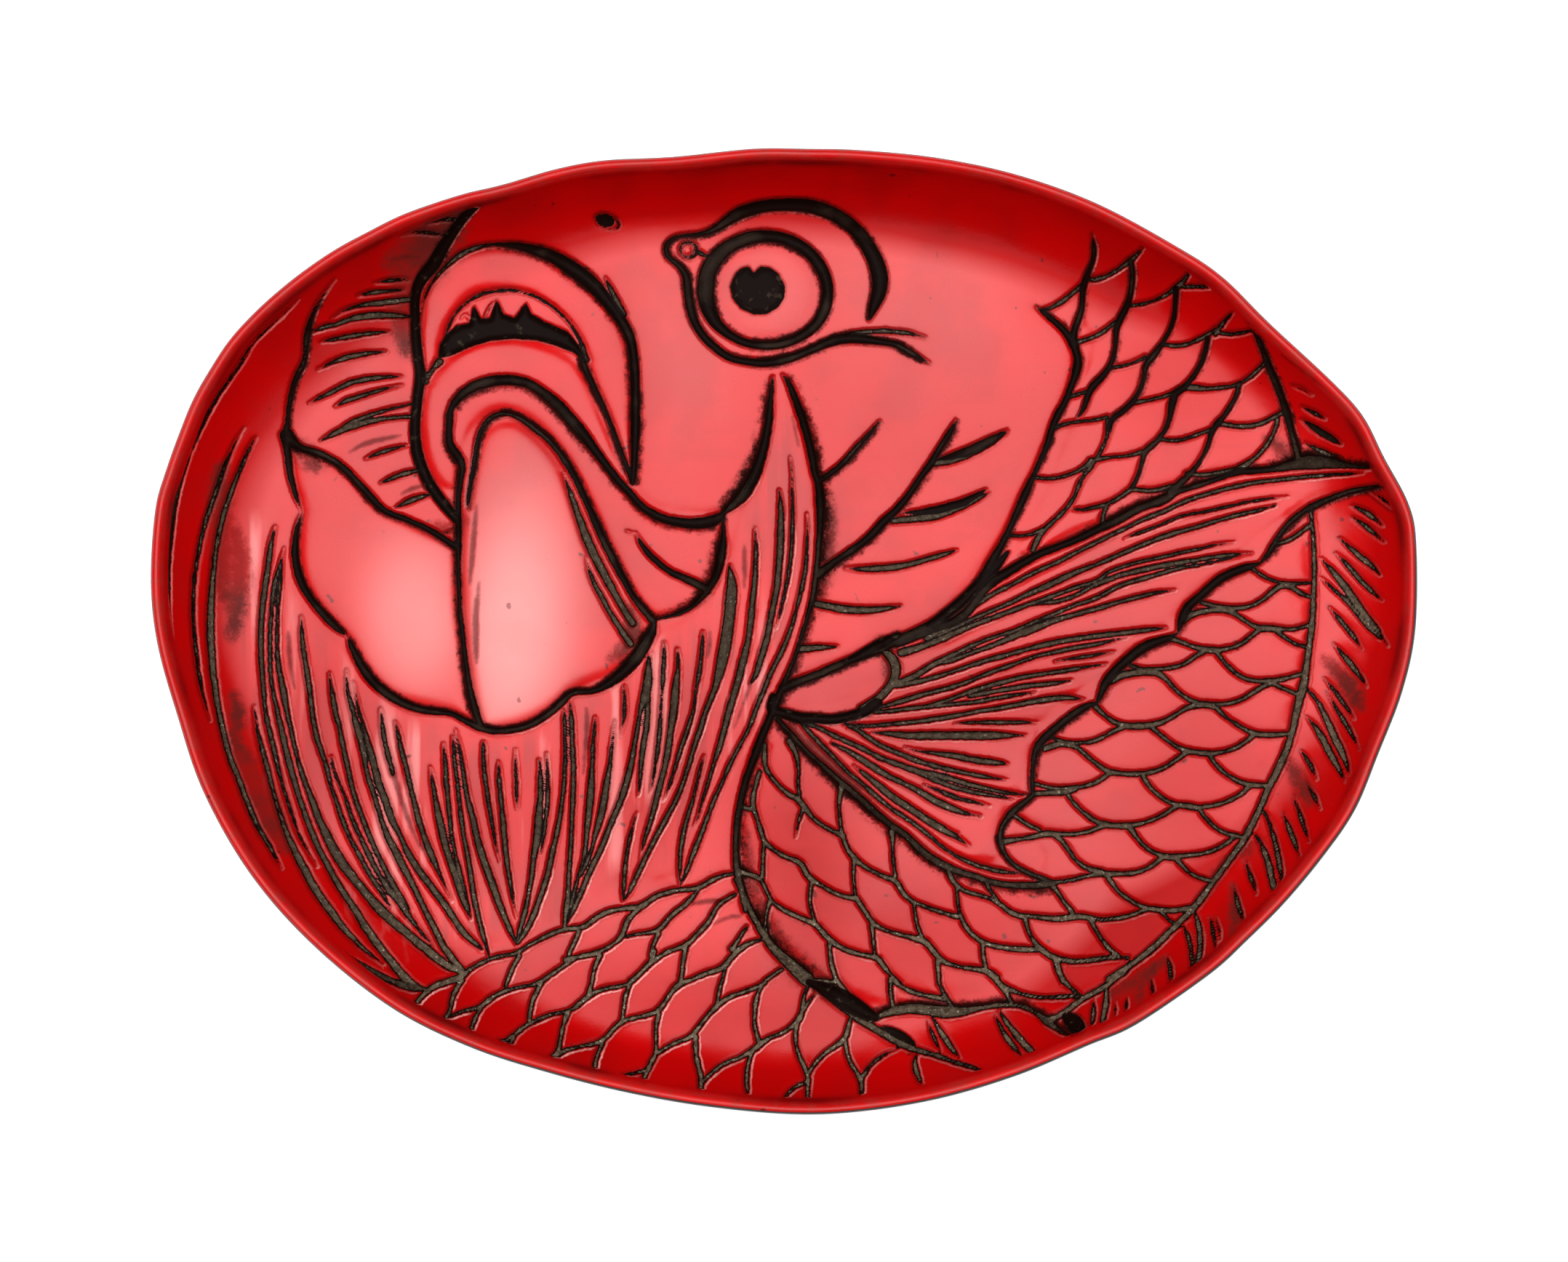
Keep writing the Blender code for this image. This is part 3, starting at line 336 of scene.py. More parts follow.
("", "1102,994,6 1115,1007,10 1130,1023,10 1148,1041,9 1165,1059,9 1186,1076,9 1203,1091,9 1224,1109,9 1250,1126,9 1277,1146,9 1295,1162,8 1318,1177,8 1340,1187,9 1362,1194,9 1384,1198,9 1405,1200,3"),
("fS12", "1070,988,10 1089,1008,10 1106,1028,10 1127,1047,10 1148,1066,11 1171,1086,12 1195,1107,13 1221,1130,12 1245,1146,12 1262,1163,13 1277,1176,13 1298,1188,14 1319,1197,12 1339,1203,12 1360,1210,12 1384,1215,12 1407,1216,13 1430,1216,13 1448,1213,11"),
("B", "1064,958,12 1062,975,16 1080,980,14 1103,987,15 1118,986,14 1142,988,13 1168,984,13 1192,976,14 1207,965,14"),
("", "1200,975,8 1222,968,8"),
# fin, lower edge
("fE8", "1908,665,3 1889,668,8 1866,672,9 1845,678,9 1825,686,10 1810,693,13 1795,700,9 1781,711,10 1769,722,9 1757,738,9 1750,751,11 1742,763,8 1733,773,6"),
("fS9", "1733,773,6 1717,778,12 1700,784,14 1682,792,14 1665,805,13 1650,819,13 1636,831,14 1627,845,14 1622,860,9 1620,869,5"),
("fS9", "1619,870,5 1603,877,12 1585,883,15 1570,890,15 1556,901,15 1541,914,15 1528,928,15 1518,942,14 1513,957,9 1508,966,6"),
("fS8", "1509,964,5 1495,969,10 1480,978,12 1466,988,12 1451,1001,13 1437,1013,14 1426,1027,12 1422,1041,10 1420,1059,9 1420,1077,9 1421,1092,9"),
("fS5", "1421,1092,9 1410,1101,11 1395,1113,12 1383,1127,10 1376,1141,9 1376,1156,12 1381,1170,9 1392,1185,9 1410,1197,10 1428,1204,10 1446,1211,9"),
# spine line on the right
("", "1803,693,8 1804,711,9 1806,731,9 1807,748,10 1808,772,10 1808,795,10 1807,819,10 1806,842,11 1803,872,12 1800,895,12 1797,916,13 1794,937,15 1789,955,15 1784,975,14 1779,1000,13 1771,1026,13 1760,1053,14 1745,1082,13 1731,1115,12 1713,1150,13 1692,1180,12 1669,1211,11 1645,1244,13 1622,1267,12 1595,1294,12 1569,1316,12 1548,1330,11 1525,1345,12"),
# scales, right body
("", "1755,747,8 1772,742,9 1789,731,9 1804,720,9"),
("", "1721,778,9 1732,788,8 1750,797,8 1770,801,8 1788,801,8 1804,800,7"),
("", "1803,820,8 1791,816,10 1779,807,10 1765,802,12 1753,810,11 1738,823,9 1723,831,9 1706,835,10 1688,835,11 1670,832,10 1653,827,9"),
("", "1627,851,14 1638,844,12 1656,839,11 1676,837,11 1694,839,12 1706,848,9 1721,858,9 1732,863,12 1750,863,12 1765,864,9 1782,864,8 1801,858,9"),
("", "1753,864,10 1765,873,9 1779,883,8 1798,889,9"),
("", "1732,864,11 1721,874,9 1706,885,9 1688,891,9 1673,893,12 1659,892,12 1641,888,9 1627,882,9 1611,877,11"),
("", "1656,893,12 1641,904,9 1627,913,9 1609,917,9 1588,919,9 1570,919,9 1556,914,9"),
("", "1673,894,11 1682,907,9 1697,922,9 1712,932,9 1727,935,9 1744,935,10 1762,933,10 1779,929,9 1795,924,9"),
("", "1529,933,15 1547,926,13 1565,923,13 1585,922,13 1600,928,11 1609,939,9 1621,951,9 1632,959,9 1645,965,11"),
("", "1747,938,11 1732,945,10 1718,955,9 1702,963,9 1684,967,9 1663,966,9 1652,966,10"),
("", "1750,938,10 1765,945,9 1782,952,9 1790,956,8"),
("", "1507,970,11 1519,982,9 1533,992,10 1548,997,12 1566,997,12 1583,996,12 1598,992,10 1613,984,9 1627,975,9 1642,968,12 1660,967,12 1674,972,10"),
("", "1674,973,10 1683,982,8 1695,991,8 1710,1000,9 1725,1008,11 1742,1009,11 1760,1009,10 1775,1007,8"),
("", "1725,1008,11 1713,1019,9 1698,1028,9 1681,1033,9 1663,1035,11 1645,1033,11 1631,1031,11 1613,1022,9 1598,1010,9 1586,1000,11"),
("", "1630,1034,11 1616,1045,9 1598,1056,9 1577,1062,10 1557,1063,10 1539,1062,10 1525,1060,11 1510,1050,9 1495,1038,9 1483,1027,10 1471,1021,12 1454,1022,12 1438,1028,12"),
("", "1448,1013,8 1463,1019,8 1481,1020,8 1501,1019,9 1516,1013,9 1530,1005,9 1544,998,11"),
("", "1525,1062,11 1513,1072,9 1495,1079,9 1475,1082,9 1454,1083,9 1436,1080,9 1423,1076,8"),
("", "1424,1090,10 1436,1089,10 1454,1088,12 1468,1087,12 1480,1084,9"),
("", "1572,1065,11 1580,1079,9 1592,1091,9 1607,1101,9 1619,1106,11 1636,1107,12 1650,1110,11"),
("", "1663,1036,10 1672,1050,9 1686,1063,9 1701,1072,9 1719,1078,11 1745,1079,10"),
("", "1719,1079,11 1707,1091,9 1689,1100,9 1672,1106,9 1648,1109,9"),
("", "1468,1090,9 1477,1103,9 1489,1115,9 1504,1126,10 1516,1132,12 1533,1134,11 1550,1134,12"),
("", "1616,1108,11 1604,1117,9 1586,1126,9 1569,1131,9 1551,1134,11"),
("", "1518,1133,11 1504,1140,9 1486,1145,9 1466,1146,9 1448,1145,10 1436,1145,13 1419,1150,9 1401,1153,9 1380,1156,13"),
("", "1396,1120,9 1413,1132,9 1430,1140,9"),
("", "1554,1137,12 1566,1153,9 1577,1165,9 1592,1173,9 1603,1177,12 1619,1178,13"),
("", "1650,1111,10 1660,1126,9 1672,1137,9 1686,1145,9 1701,1148,10 1713,1150,8"),
("", "1698,1150,10 1686,1159,9 1672,1167,9 1651,1173,9 1631,1175,9 1618,1176,11"),
("", "1451,1147,10 1463,1156,10 1472,1171,9 1483,1185,9 1501,1195,11 1516,1198,12"),
("", "1598,1178,11 1586,1188,9 1569,1197,9 1548,1200,10 1525,1200,11 1513,1200,11 1495,1203,9 1478,1208,9 1460,1211,9 1445,1212,9"),
("", "1619,1180,12 1628,1191,9 1639,1201,9 1654,1207,9 1669,1211,9"),
("", "1522,1201,11 1531,1215,10 1542,1228,9 1557,1238,9 1575,1247,10 1590,1249,11 1613,1251,11 1643,1246,10"),
("", "1577,1248,10 1560,1256,9 1539,1261,9 1516,1263,9 1495,1260,11 1480,1258,12 1460,1262,12 1439,1261,10 1419,1258,9 1407,1258,10"),
("", "1446,1214,12 1454,1224,10 1463,1238,9 1475,1253,11"),
("", "1303,1190,10 1308,1206,11 1316,1217,10 1331,1225,9 1345,1229,9 1363,1234,9 1378,1243,10 1389,1253,11 1407,1259,11"),
("", "1354,1208,9 1362,1223,9 1372,1237,9"),
("", "1410,1261,11 1413,1274,9 1419,1288,9 1428,1300,11 1440,1310,12 1454,1317,12 1472,1320,11 1492,1320,11 1513,1317,10 1528,1315,10 1552,1316,8"),
("", "1500,1262,11 1507,1277,9 1516,1291,9 1527,1305,11 1539,1312,9"),
("", "1316,1219,8 1317,1235,8 1319,1250,8 1323,1262,11 1331,1277,10 1342,1288,10 1354,1295,11 1372,1300,10 1392,1303,11 1413,1304,11 1428,1304,11"),
("", "1256,1238,8 1277,1247,9 1295,1253,9 1317,1259,10"),
("", "1262,1289,13 1272,1292,12 1284,1306,12 1293,1318,12 1307,1325,9 1325,1329,9 1342,1331,10 1357,1333,12 1372,1344,12"),
("", "1352,1297,10 1352,1312,9 1356,1328,10"),
("", "1290,1320,11 1291,1335,9 1292,1352,9"),
("", "1598,1253,9 1607,1263,8 1618,1270,8"),
("", "1452,1320,11 1455,1332,11 1463,1347,12"),
# scales, lower body
("", "1052,1022,9 1052,1038,11 1052,1052,10 1062,1068,9 1074,1082,9 1086,1092,11 1099,1097,12 1107,1110,12 1118,1123,9 1133,1135,9 1148,1142,9 1160,1148,11"),
("", "1086,1018,12 1096,1036,10 1099,1058,8 1098,1076,7 1100,1095,9"),
("", "1045,1060,9 1040,1077,9 1036,1094,10 1036,1109,11 1042,1126,9 1048,1144,11 1051,1156,10 1062,1165,9 1077,1175,10 1092,1181,10 1103,1186,12 1109,1200,11 1117,1209,12 1130,1216,9 1145,1225,9 1162,1232,9 1178,1234,11"),
("", "1019,1106,9 1030,1112,10 1037,1112,9"),
("", "1105,1112,9 1099,1126,7 1096,1141,5 1095,1150,2"),
("", "1051,1158,9 1050,1174,8 1049,1191,9 1049,1205,9"),
("", "1014,1195,12 1030,1201,11 1045,1206,10 1053,1220,9 1060,1236,9 1074,1247,9 1092,1257,10 1109,1264,10 1121,1268,11 1133,1282,11 1145,1294,12 1160,1303,10 1177,1309,10 1192,1313,10 1207,1315,12 1215,1327,10 1227,1341,9 1240,1352,8"),
("", "1059,1238,10 1054,1256,8 1053,1273,8 1056,1288,8"),
("", "1117,1212,9 1114,1229,8 1115,1247,8 1121,1265,9"),
("", "1158,1080,13 1154,1103,8 1155,1121,8 1158,1144,9"),
("", "1160,1150,11 1165,1165,10 1174,1177,12 1186,1188,10 1203,1198,9 1221,1206,10 1233,1209,12 1239,1223,10 1250,1235,10 1258,1240,10"),
("", "1175,1182,9 1174,1200,8 1175,1217,7 1177,1231,8"),
("", "1180,1237,11 1189,1250,10 1198,1265,11 1209,1273,9 1227,1281,9 1245,1285,9 1262,1290,12"),
("", "1199,1268,10 1201,1285,9 1202,1300,8 1204,1313,9"),
("", "1227,1142,13 1228,1162,8 1229,1182,8 1232,1204,9"),
("", "1257,1238,9 1259,1256,8 1262,1273,8 1268,1287,9"),
("", "1141,1295,9 1142,1312,9 1145,1329,10 1151,1347,10"),
("", "1052,1348,8 1062,1341,9 1076,1331,8"),
("fE12", "1015,1208,14 1024,1232,12 1036,1258,12 1050,1282,13 1062,1300,15 1077,1315,17 1092,1329,20 1110,1345,22"),
# scales, lower left
("", "637,1338,10 655,1327,9 672,1318,9 690,1313,9 710,1310,9 725,1300,9 742,1291,9 760,1282,9 774,1277,10 789,1275,10 803,1274,10 814,1265,10 826,1257,10 839,1251,10 853,1249,10 867,1247,11 883,1246,12 892,1238,10 903,1231,10 915,1227,10 930,1223,10 946,1222,10 958,1221,10 967,1217,10 978,1210,10 990,1204,9 1009,1200,7"),
("", "797,1279,9 792,1290,9 787,1302,9 783,1311,9"),
("", "880,1248,10 873,1253,9 865,1261,11 860,1272,11 857,1285,11 849,1293,9 839,1300,9 828,1306,10 819,1309,10"),
("", "863,1286,7 876,1283,8 889,1282,8 901,1280,9 910,1275,11 917,1265,10 926,1256,10 937,1247,10 947,1240,10 953,1232,10 960,1223,9"),
("", "906,1282,10 901,1292,9 898,1301,9 896,1312,10"),
("", "1012,1229,8 1003,1233,8 992,1240,9 985,1247,9 980,1259,10 971,1272,10 960,1283,10 951,1293,10 942,1300,12 930,1303,9 917,1308,9 903,1317,9"),
("r", "953,1241,5 965,1239,6 978,1237,7 990,1238,8"),
("r", "983,1269,3 994,1263,4 1006,1258,5 1018,1258,4"),
("", "1028,1274,7 1019,1285,8 1014,1295,9 1007,1304,11"),
("", "1050,1290,7 1033,1295,8 1018,1303,12 1006,1315,11 998,1327,11 983,1334,10 968,1338,10 952,1346,9"),
("", "998,1329,8 994,1347,8"),
("", "943,1303,11 940,1321,9 937,1347,10"),
("", "901,1306,9 897,1318,10 883,1335,10 868,1348,10"),
("", "778,1318,10 803,1313,10 824,1309,12"),
("", "826,1312,10 818,1329,9 815,1347,9"),
# dashes in the dorsal fin, top
("", "1777,528,2 1786,532,7 1796,536,5 1805,543,2"),
("", "1791,558,3 1804,565,9 1816,571,8 1823,575,3"),
("E", "1790,575,3 1804,584,10 1819,594,12 1833,602,11 1845,610,4"),
("", "1795,608,4 1810,616,9 1825,622,10 1843,630,4"),
("r", "1763,487,2 1783,502,3 1810,522,3 1834,541,2"),
("", "1883,672,3 1898,682,6 1913,693,7 1926,704,3"),
("r", "1877,675,3 1895,688,5 1914,702,3"),
("", "1861,694,4 1875,701,10 1889,710,10 1902,722,3"),
("", "1861,710,4 1875,719,9 1889,731,10 1904,744,4"),
("", "1843,739,4 1856,751,9 1870,763,11 1885,775,11 1898,789,4"),
("", "1837,759,3 1853,775,9 1870,795,10 1885,810,10 1901,824,3"),
("", "1817,766,3 1832,783,11 1847,801,13 1862,822,14 1876,842,12 1891,860,11 1909,887,3"),
("", "1817,793,3 1832,807,8 1850,822,9 1865,839,10 1879,857,10 1897,875,8"),
("", "1829,834,3 1841,848,9 1853,863,10 1865,878,8 1873,891,3"),
("", "1835,884,3 1847,898,10 1859,913,11 1871,929,9 1880,943,3"),
# dashes, lower right
("", "1642,1249,4 1648,1267,10 1651,1288,11 1650,1309,11 1645,1332,8 1642,1346,3"),
("", "1627,1270,4 1635,1288,9 1639,1309,9 1640,1332,7 1638,1349,3"),
("", "1605,1314,4 1610,1329,10 1610,1344,8 1608,1356,3"),
("", "1665,1262,4 1669,1282,9 1673,1307,4"),
("", "1672,1260,3 1677,1276,7 1678,1292,3"),
("", "1697,1216,4 1701,1235,9 1707,1256,9 1711,1266,3"),
("", "1714,1184,4 1720,1203,9 1726,1220,8 1728,1229,3"),
# scales, lower left
("", "563,1403,6 566,1392,9 572,1380,10 580,1369,10 590,1360,11 602,1353,12 615,1349,13 628,1345,12 640,1337,12"),
("", "636,1346,10 628,1357,11 622,1372,9 620,1386,9 615,1398,9 603,1405,9 584,1410,8 567,1414,5"),
("", "606,1404,10 600,1413,9 595,1421,4"),
("", "621,1396,7 632,1391,8 645,1387,8 661,1384,10 672,1374,11 682,1367,10 696,1361,9 710,1357,8 728,1354,8 742,1350,10 752,1343,10 765,1334,9 779,1325,9 790,1317,9"),
("", "715,1313,9 707,1326,9 701,1340,9 696,1354,9"),
("", "661,1386,9 653,1400,9 648,1416,9 643,1432,8 642,1445,8 647,1452,4"),
("", "646,1450,6 655,1442,8 668,1436,8 682,1432,8 698,1429,9 708,1422,10 718,1413,9 729,1406,9 742,1400,9 757,1394,9 772,1391,8 786,1388,10 798,1378,10 808,1370,11 820,1362,10 834,1358,9 850,1355,9 864,1353,9 874,1345,9 883,1334,10 893,1325,11 903,1317,10"),
("", "745,1352,9 737,1364,10 732,1378,10 729,1392,9 728,1404,10"),
("", "706,1427,9 700,1438,9 696,1448,8 694,1455,3"),
("", "781,1392,12 776,1404,9 773,1419,9 770,1434,9 768,1447,12 758,1455,10 743,1460,8 730,1465,8 718,1473,6"),
("", "768,1448,11 781,1442,9 796,1438,8 811,1435,9 826,1432,11 836,1423,9 846,1412,10 856,1403,10 870,1399,9 887,1395,9 903,1391,11 913,1380,10 921,1367,9 930,1355,11 939,1349,12 952,1346,9"),
("", "815,1347,9 812,1360,10 808,1371,10"),
("", "866,1353,9 861,1366,9 859,1380,9 857,1394,9 856,1402,9"),
("", "829,1433,9 823,1446,9 819,1460,9 818,1474,9 819,1487,8 824,1495,3"),
("", "906,1393,10 903,1408,9 902,1423,8 903,1437,8 903,1448,10 896,1460,10 890,1472,10 885,1484,9 882,1496,4"),
("", "889,1471,9 873,1474,8 857,1479,8 845,1487,8 834,1497,5"),
("", "906,1446,9 920,1437,9 936,1430,9 951,1425,11 959,1414,10 968,1402,9 978,1391,9 987,1381,11 999,1372,10 1013,1366,9 1028,1361,9 1042,1356,9 1052,1350,10"),
("", "994,1345,8 990,1358,9 988,1371,9 987,1379,10"),
("", "957,1424,11 957,1439,10 958,1453,10 961,1466,10 965,1478,11 965,1491,10 963,1503,9 961,1513,3"),
("", "968,1485,9 977,1476,9 989,1466,9 1002,1459,9 1016,1454,9 1028,1448,9 1040,1440,12 1048,1432,11 1060,1425,9 1074,1420,9 1087,1412,9 1097,1404,12 1103,1393,11 1105,1378,9 1107,1364,8 1113,1352,6"),
("", "1105,1388,8 1110,1379,8 1116,1371,7 1122,1366,4"),
("", "1048,1354,9 1042,1366,9 1039,1380,10 1038,1394,9 1038,1408,9 1041,1421,9 1044,1431,11"),
("", "1036,1442,10 1031,1455,9 1028,1470,9 1027,1485,9 1028,1499,8 1030,1511,3"),
("", "1097,1405,10 1094,1420,9 1095,1435,9 1099,1449,9 1105,1463,10 1111,1475,11 1112,1488,10 1110,1501,9 1112,1513,6 1114,1519,2"),
("", "1109,1487,9 1098,1491,8 1088,1498,8 1080,1507,8 1075,1514,3"),
("", "1114,1472,9 1121,1461,9 1131,1450,9 1143,1441,9 1156,1433,12 1164,1425,11 1167,1412,9 1170,1399,9 1172,1391,6"),
("", "1163,1431,10 1165,1446,9 1170,1460,9 1177,1471,10 1184,1481,11 1186,1492,10 1185,1503,9 1185,1513,3"),
("", "1188,1478,9 1195,1466,8 1206,1456,7 1220,1447,7 1238,1440,4"),
# belly line and what meets it
("B", "1112,1349,8 1130,1356,15 1150,1366,22 1170,1379,25 1190,1391,20 1206,1398,9"),
("f", "1122,1356,8 1137,1368,9 1152,1380,9 1168,1392,9 1184,1403,12 1200,1411,13 1216,1420,14 1231,1429,14 1247,1437,13 1262,1443,11 1279,1447,10 1296,1453,10 1313,1459,9 1330,1464,9 1345,1469,8 1361,1475,3"),
("B", "1215,1412,6 1230,1418,12 1245,1426,12 1258,1435,5"),
("fN10", "1198,1402,10 1214,1394,12 1234,1388,16 1255,1385,18 1276,1387,18 1296,1390,20 1317,1390,18 1338,1387,12 1358,1383,10 1379,1380,11 1399,1381,10 1414,1385,10 1428,1393,10 1440,1403,14 1452,1412,10 1465,1420,8 1482,1428,4"),
("", "1548,1334,11 1527,1350,11 1509,1362,11 1492,1370,11 1480,1379,11 1466,1390,11 1452,1398,12 1439,1403,12"),
("", "1357,1333,12 1368,1343,12 1378,1354,12 1386,1366,10 1392,1378,9"),
("", "1381,1355,11 1395,1362,10 1411,1367,9 1429,1370,9 1447,1370,9 1465,1369,9 1482,1368,9 1493,1370,7"),
("", "1455,1320,10 1457,1334,11 1464,1348,10 1475,1359,9 1488,1368,8"),
("", "1292,1350,9 1297,1362,9 1305,1375,9 1315,1389,9"),
("", "1228,1346,9 1241,1356,10 1256,1363,10 1271,1367,10 1287,1370,10 1301,1373,10"),
("", "1225,1345,10 1225,1358,9 1226,1371,9 1229,1387,9"),
("", "1151,1346,10 1158,1356,10 1166,1366,10"),
("", "1110,1346,8 1130,1347,9 1148,1349,9"),
# short rays below the belly
("", "1280,1395,4 1291,1412,10 1302,1430,12 1311,1442,11 1321,1455,3"),
("", "1277,1402,3 1281,1416,8 1287,1430,9 1294,1446,3"),
("", "1374,1387,4 1383,1402,9 1395,1418,12 1408,1433,13 1421,1446,12 1432,1455,4"),
("", "1370,1396,4 1377,1412,9 1387,1428,11 1397,1441,10 1408,1453,3"),
("", "1261,1447,4 1258,1460,9 1261,1474,11 1266,1485,8 1270,1493,3"),
("B", "1466,1396,10 1474,1402,22 1482,1410,24 1486,1420,12"),
("", "1504,1374,4 1505,1388,10 1503,1401,9 1501,1411,3"),
("", "1522,1359,8 1522,1375,11 1519,1391,11 1516,1405,9 1511,1418,3"),
("", "1534,1375,3 1534,1385,7 1534,1396,3"),
("", "1550,1370,3 1549,1383,7 1549,1396,3"),
("", "1583,1343,3 1585,1357,8 1586,1373,3"),
# short rays below the back
("", "1822,931,3 1832,944,8 1842,957,9 1852,971,8 1863,987,3"),
("", "1826,951,3 1836,969,7 1847,987,9 1858,1006,9 1869,1029,3"),
("", "1797,945,7 1808,957,8 1817,971,10 1825,988,12 1832,1004,13 1840,1021,13 1848,1037,12 1853,1052,9 1855,1064,3"),
("", "1797,984,3 1807,995,9 1817,1010,12 1826,1027,13 1835,1044,12 1843,1058,10 1849,1073,3"),
("", "1790,1031,3 1798,1043,9 1805,1056,9 1811,1070,3"),
("", "1796,1074,3 1804,1087,8 1810,1099,9 1816,1111,3"),
("", "1779,1093,3 1785,1109,8 1791,1127,9 1795,1141,8 1800,1155,3"),
("", "1765,1117,3 1771,1132,9 1777,1147,11 1782,1161,9 1788,1179,3"),
("", "1739,1116,8 1746,1130,8 1751,1145,9 1755,1162,10 1759,1180,11 1762,1198,9 1762,1214,5"),
("", "1726,1146,5 1735,1159,9 1741,1174,11 1746,1190,12 1749,1206,12 1753,1222,11 1757,1237,3"),
# soft stains
("m", "1822,905,12 1840,920,20 1855,940,22 1866,960,22 1872,974,10"),
("m", "1771,1044,10 1783,1062,20 1793,1084,20 1801,1104,12"),
("m", "1695,1215,8 1697,1240,14 1699,1262,16 1700,1285,14"),
("m", "1720,1157,10 1712,1172,16"),
("m", "1572,1352,8 1568,1366,14 1564,1378,8"),
]

# ---------------------------------------------------------------- colours and light
RED_A, RED_B = (0.58, 0.0020, 0.0026), (0.49, 0.0012, 0.0016)
RED_C, RED_D = (0.62, 0.016, 0.016), (0.40, 0.001, 0.002)
COVE_SHADE_A, COVE_SHADE_B = (0.300, 0.0002, 0.0004), (0.240, 0.0002, 0.0003)
HIGHLIGHT_PINK = (0.95, 0.36, 0.34)
RIM_RED = (0.37, 0.018, 0.014)
RED_SHADE = (0.37, 0.0015, 0.002)
STAIN = (0.060, 0.010, 0.008)
DARK_RED = (0.055, 0.001, 0.001)
GLINT = (0.95, 0.46, 0.42)
SOOT, SOOT_WARM = (0.0050, 0.0018, 0.0012), (0.022, 0.013, 0.009)
OLIVE_DARK, OLIVE, OLIVE_PALE = (0.050, 0.034, 0.022), (0.135, 0.100, 0.066), (0.46, 0.40, 0.30)
GROOVE_EDGE_SHADE = 0.62
SPECULAR = 0.40
ROUGH_LOW, ROUGH_HIGH = 0.25, 0.37
WORLD = 0.06
PAPER_GLOW = 0.45
AIM_Y = 0.0001
# Painted shade in the cove, darker lacquer where the wall turns away from the light: (direction from the middle in
# degrees, how far in it reaches in mm, strength).
COVE_SHADE = [(0, 13, 0.62), (30, 17, 0.72), (45, 23, 0.90), (70, 23, 1.0), (90, 20, 1.0), (110, 20, 0.95), (135, 25, 0.90),
        (160, 22, 0.75), (180, 19, 0.72), (200, 19, 0.72), (225, 20, 0.78), (250, 16, 0.74), (270, 16, 0.74),
        (300, 19, 0.74), (322, 30, 0.78), (340, 20, 0.66), (360, 13, 0.62)]
LIGHTS = [
    ("overhead", (0.0, 0.12, 1.10), (0.0, 0.03, 0.0), 1.55, 1.45, 28.0),
    ("left_edge", (-1.15, 0.45, 0.62), (0.0, 0.0, 0.0), 0.45, 0.30, 1.2),
]


def spline(points, step):
    """Open Catmull-Rom curve through rows of numbers, the first two being x and y, with points about `step` apart."""
    p = np.array(points, float)
    p = np.vstack([2 * p[0] - p[1], p, 2 * p[-1] - p[-2]])
    out = []
    for i in range(1, len(p) - 2):
        a, b, c, d = p[i - 1], p[i], p[i + 1], p[i + 2]
        n = max(int(math.ceil(np.linalg.norm(c[:2] - b[:2]) / step)), 1)
        for k in range(n):
            t = k / n
            out.append(0.5 * ((2 * b) + (c - a) * t + (2 * a - 5 * b + 4 * c - d) * t * t
                              + (3 * b - a - 3 * c + d) * t ** 3))
    out.append(p[-2])
    return np.array(out)


def blur_ring(values, share):
    """Periodic Gaussian blur of a ring of 2-D points; share is the blur's width as a share of the ring."""
    z = values[:, 0] + 1j * values[:, 1]
    f = np.fft.fftfreq(len(z), 1.0 / len(z))
    z = np.fft.ifft(np.fft.fft(z) * np.exp(-2 * (math.pi * share * f) ** 2))
    return np.stack([z.real, z.imag], axis=1)


def blur(a, sigma):
    """Gaussian blur of a raster, sigma in cells."""
    fy, fx = np.fft.fftfreq(a.shape[0]), np.fft.rfftfreq(a.shape[1])
    g = np.exp(-2 * (math.pi * sigma) ** 2 * (fy[:, None] ** 2 + fx[None, :] ** 2))
    return np.fft.irfft2(np.fft.rfft2(a) * g, s=a.shape)


# ---------------------------------------------------------------- the carving, on a raster of the sheet
CELL = 1.5
X0, Y0, X1, Y1 = 180.0, 180.0, 1980.0, 1560.0
gx = np.arange(X0, X1, CELL)
gy = np.arange(Y0, Y1, CELL)
SHAPE = (len(gy), len(gx))
FAR = 34.0
edge_v = np.full(SHAPE, FAR)       # distance outside a pigmented groove's edge, negative inside it
edge_r = np.full(SHAPE, FAR)       # the same for faint red scratches
edge_f = np.full(SHAPE, FAR)       # the same for the bold outlines, which hold mostly black
edge_b = np.full(SHAPE, FAR)       # the same for places filled with black
smear = np.zeros(SHAPE)            # black pigment rubbed beside a contour
stain = np.zeros(SHAPE)            # soft brown stains
deep = np.zeros(SHAPE)             # depth of cut, in metres


def window(x, y, reach):
    i0 = max(int((x - reach - X0) / CELL), 0)
    i1 = min(int((x + reach - X0) / CELL) + 2, SHAPE[1])
    j0 = max(int((y - reach - Y0) / CELL), 0)
    j1 = min(int((y + reach - Y0) / CELL) + 2, SHAPE[0])
    return slice(j0, j1), slice(i0, i1), gx[i0:i1][None, :] - x, gy[j0:j1][:, None] - y


COMPASS = {"N": (0, -1), "S": (0, 1), "E": (1, 0), "W": (-1, 0)}


def read(text):
    rows, known = [], []
    for word in text.split():
        bits = [float(v) for v in word.split(",")]
        rows.append(bits[:2] + [bits[2] if len(bits) > 2 else float("nan")])
    a = np.array(rows)
    ok = ~np.isnan(a[:, 2])
    if not ok.any():
        a[:, 2] = 8.0
    else:
        a[:, 2] = np.interp(np.arange(len(a)), np.nonzero(ok)[0], a[ok, 2])
    return a


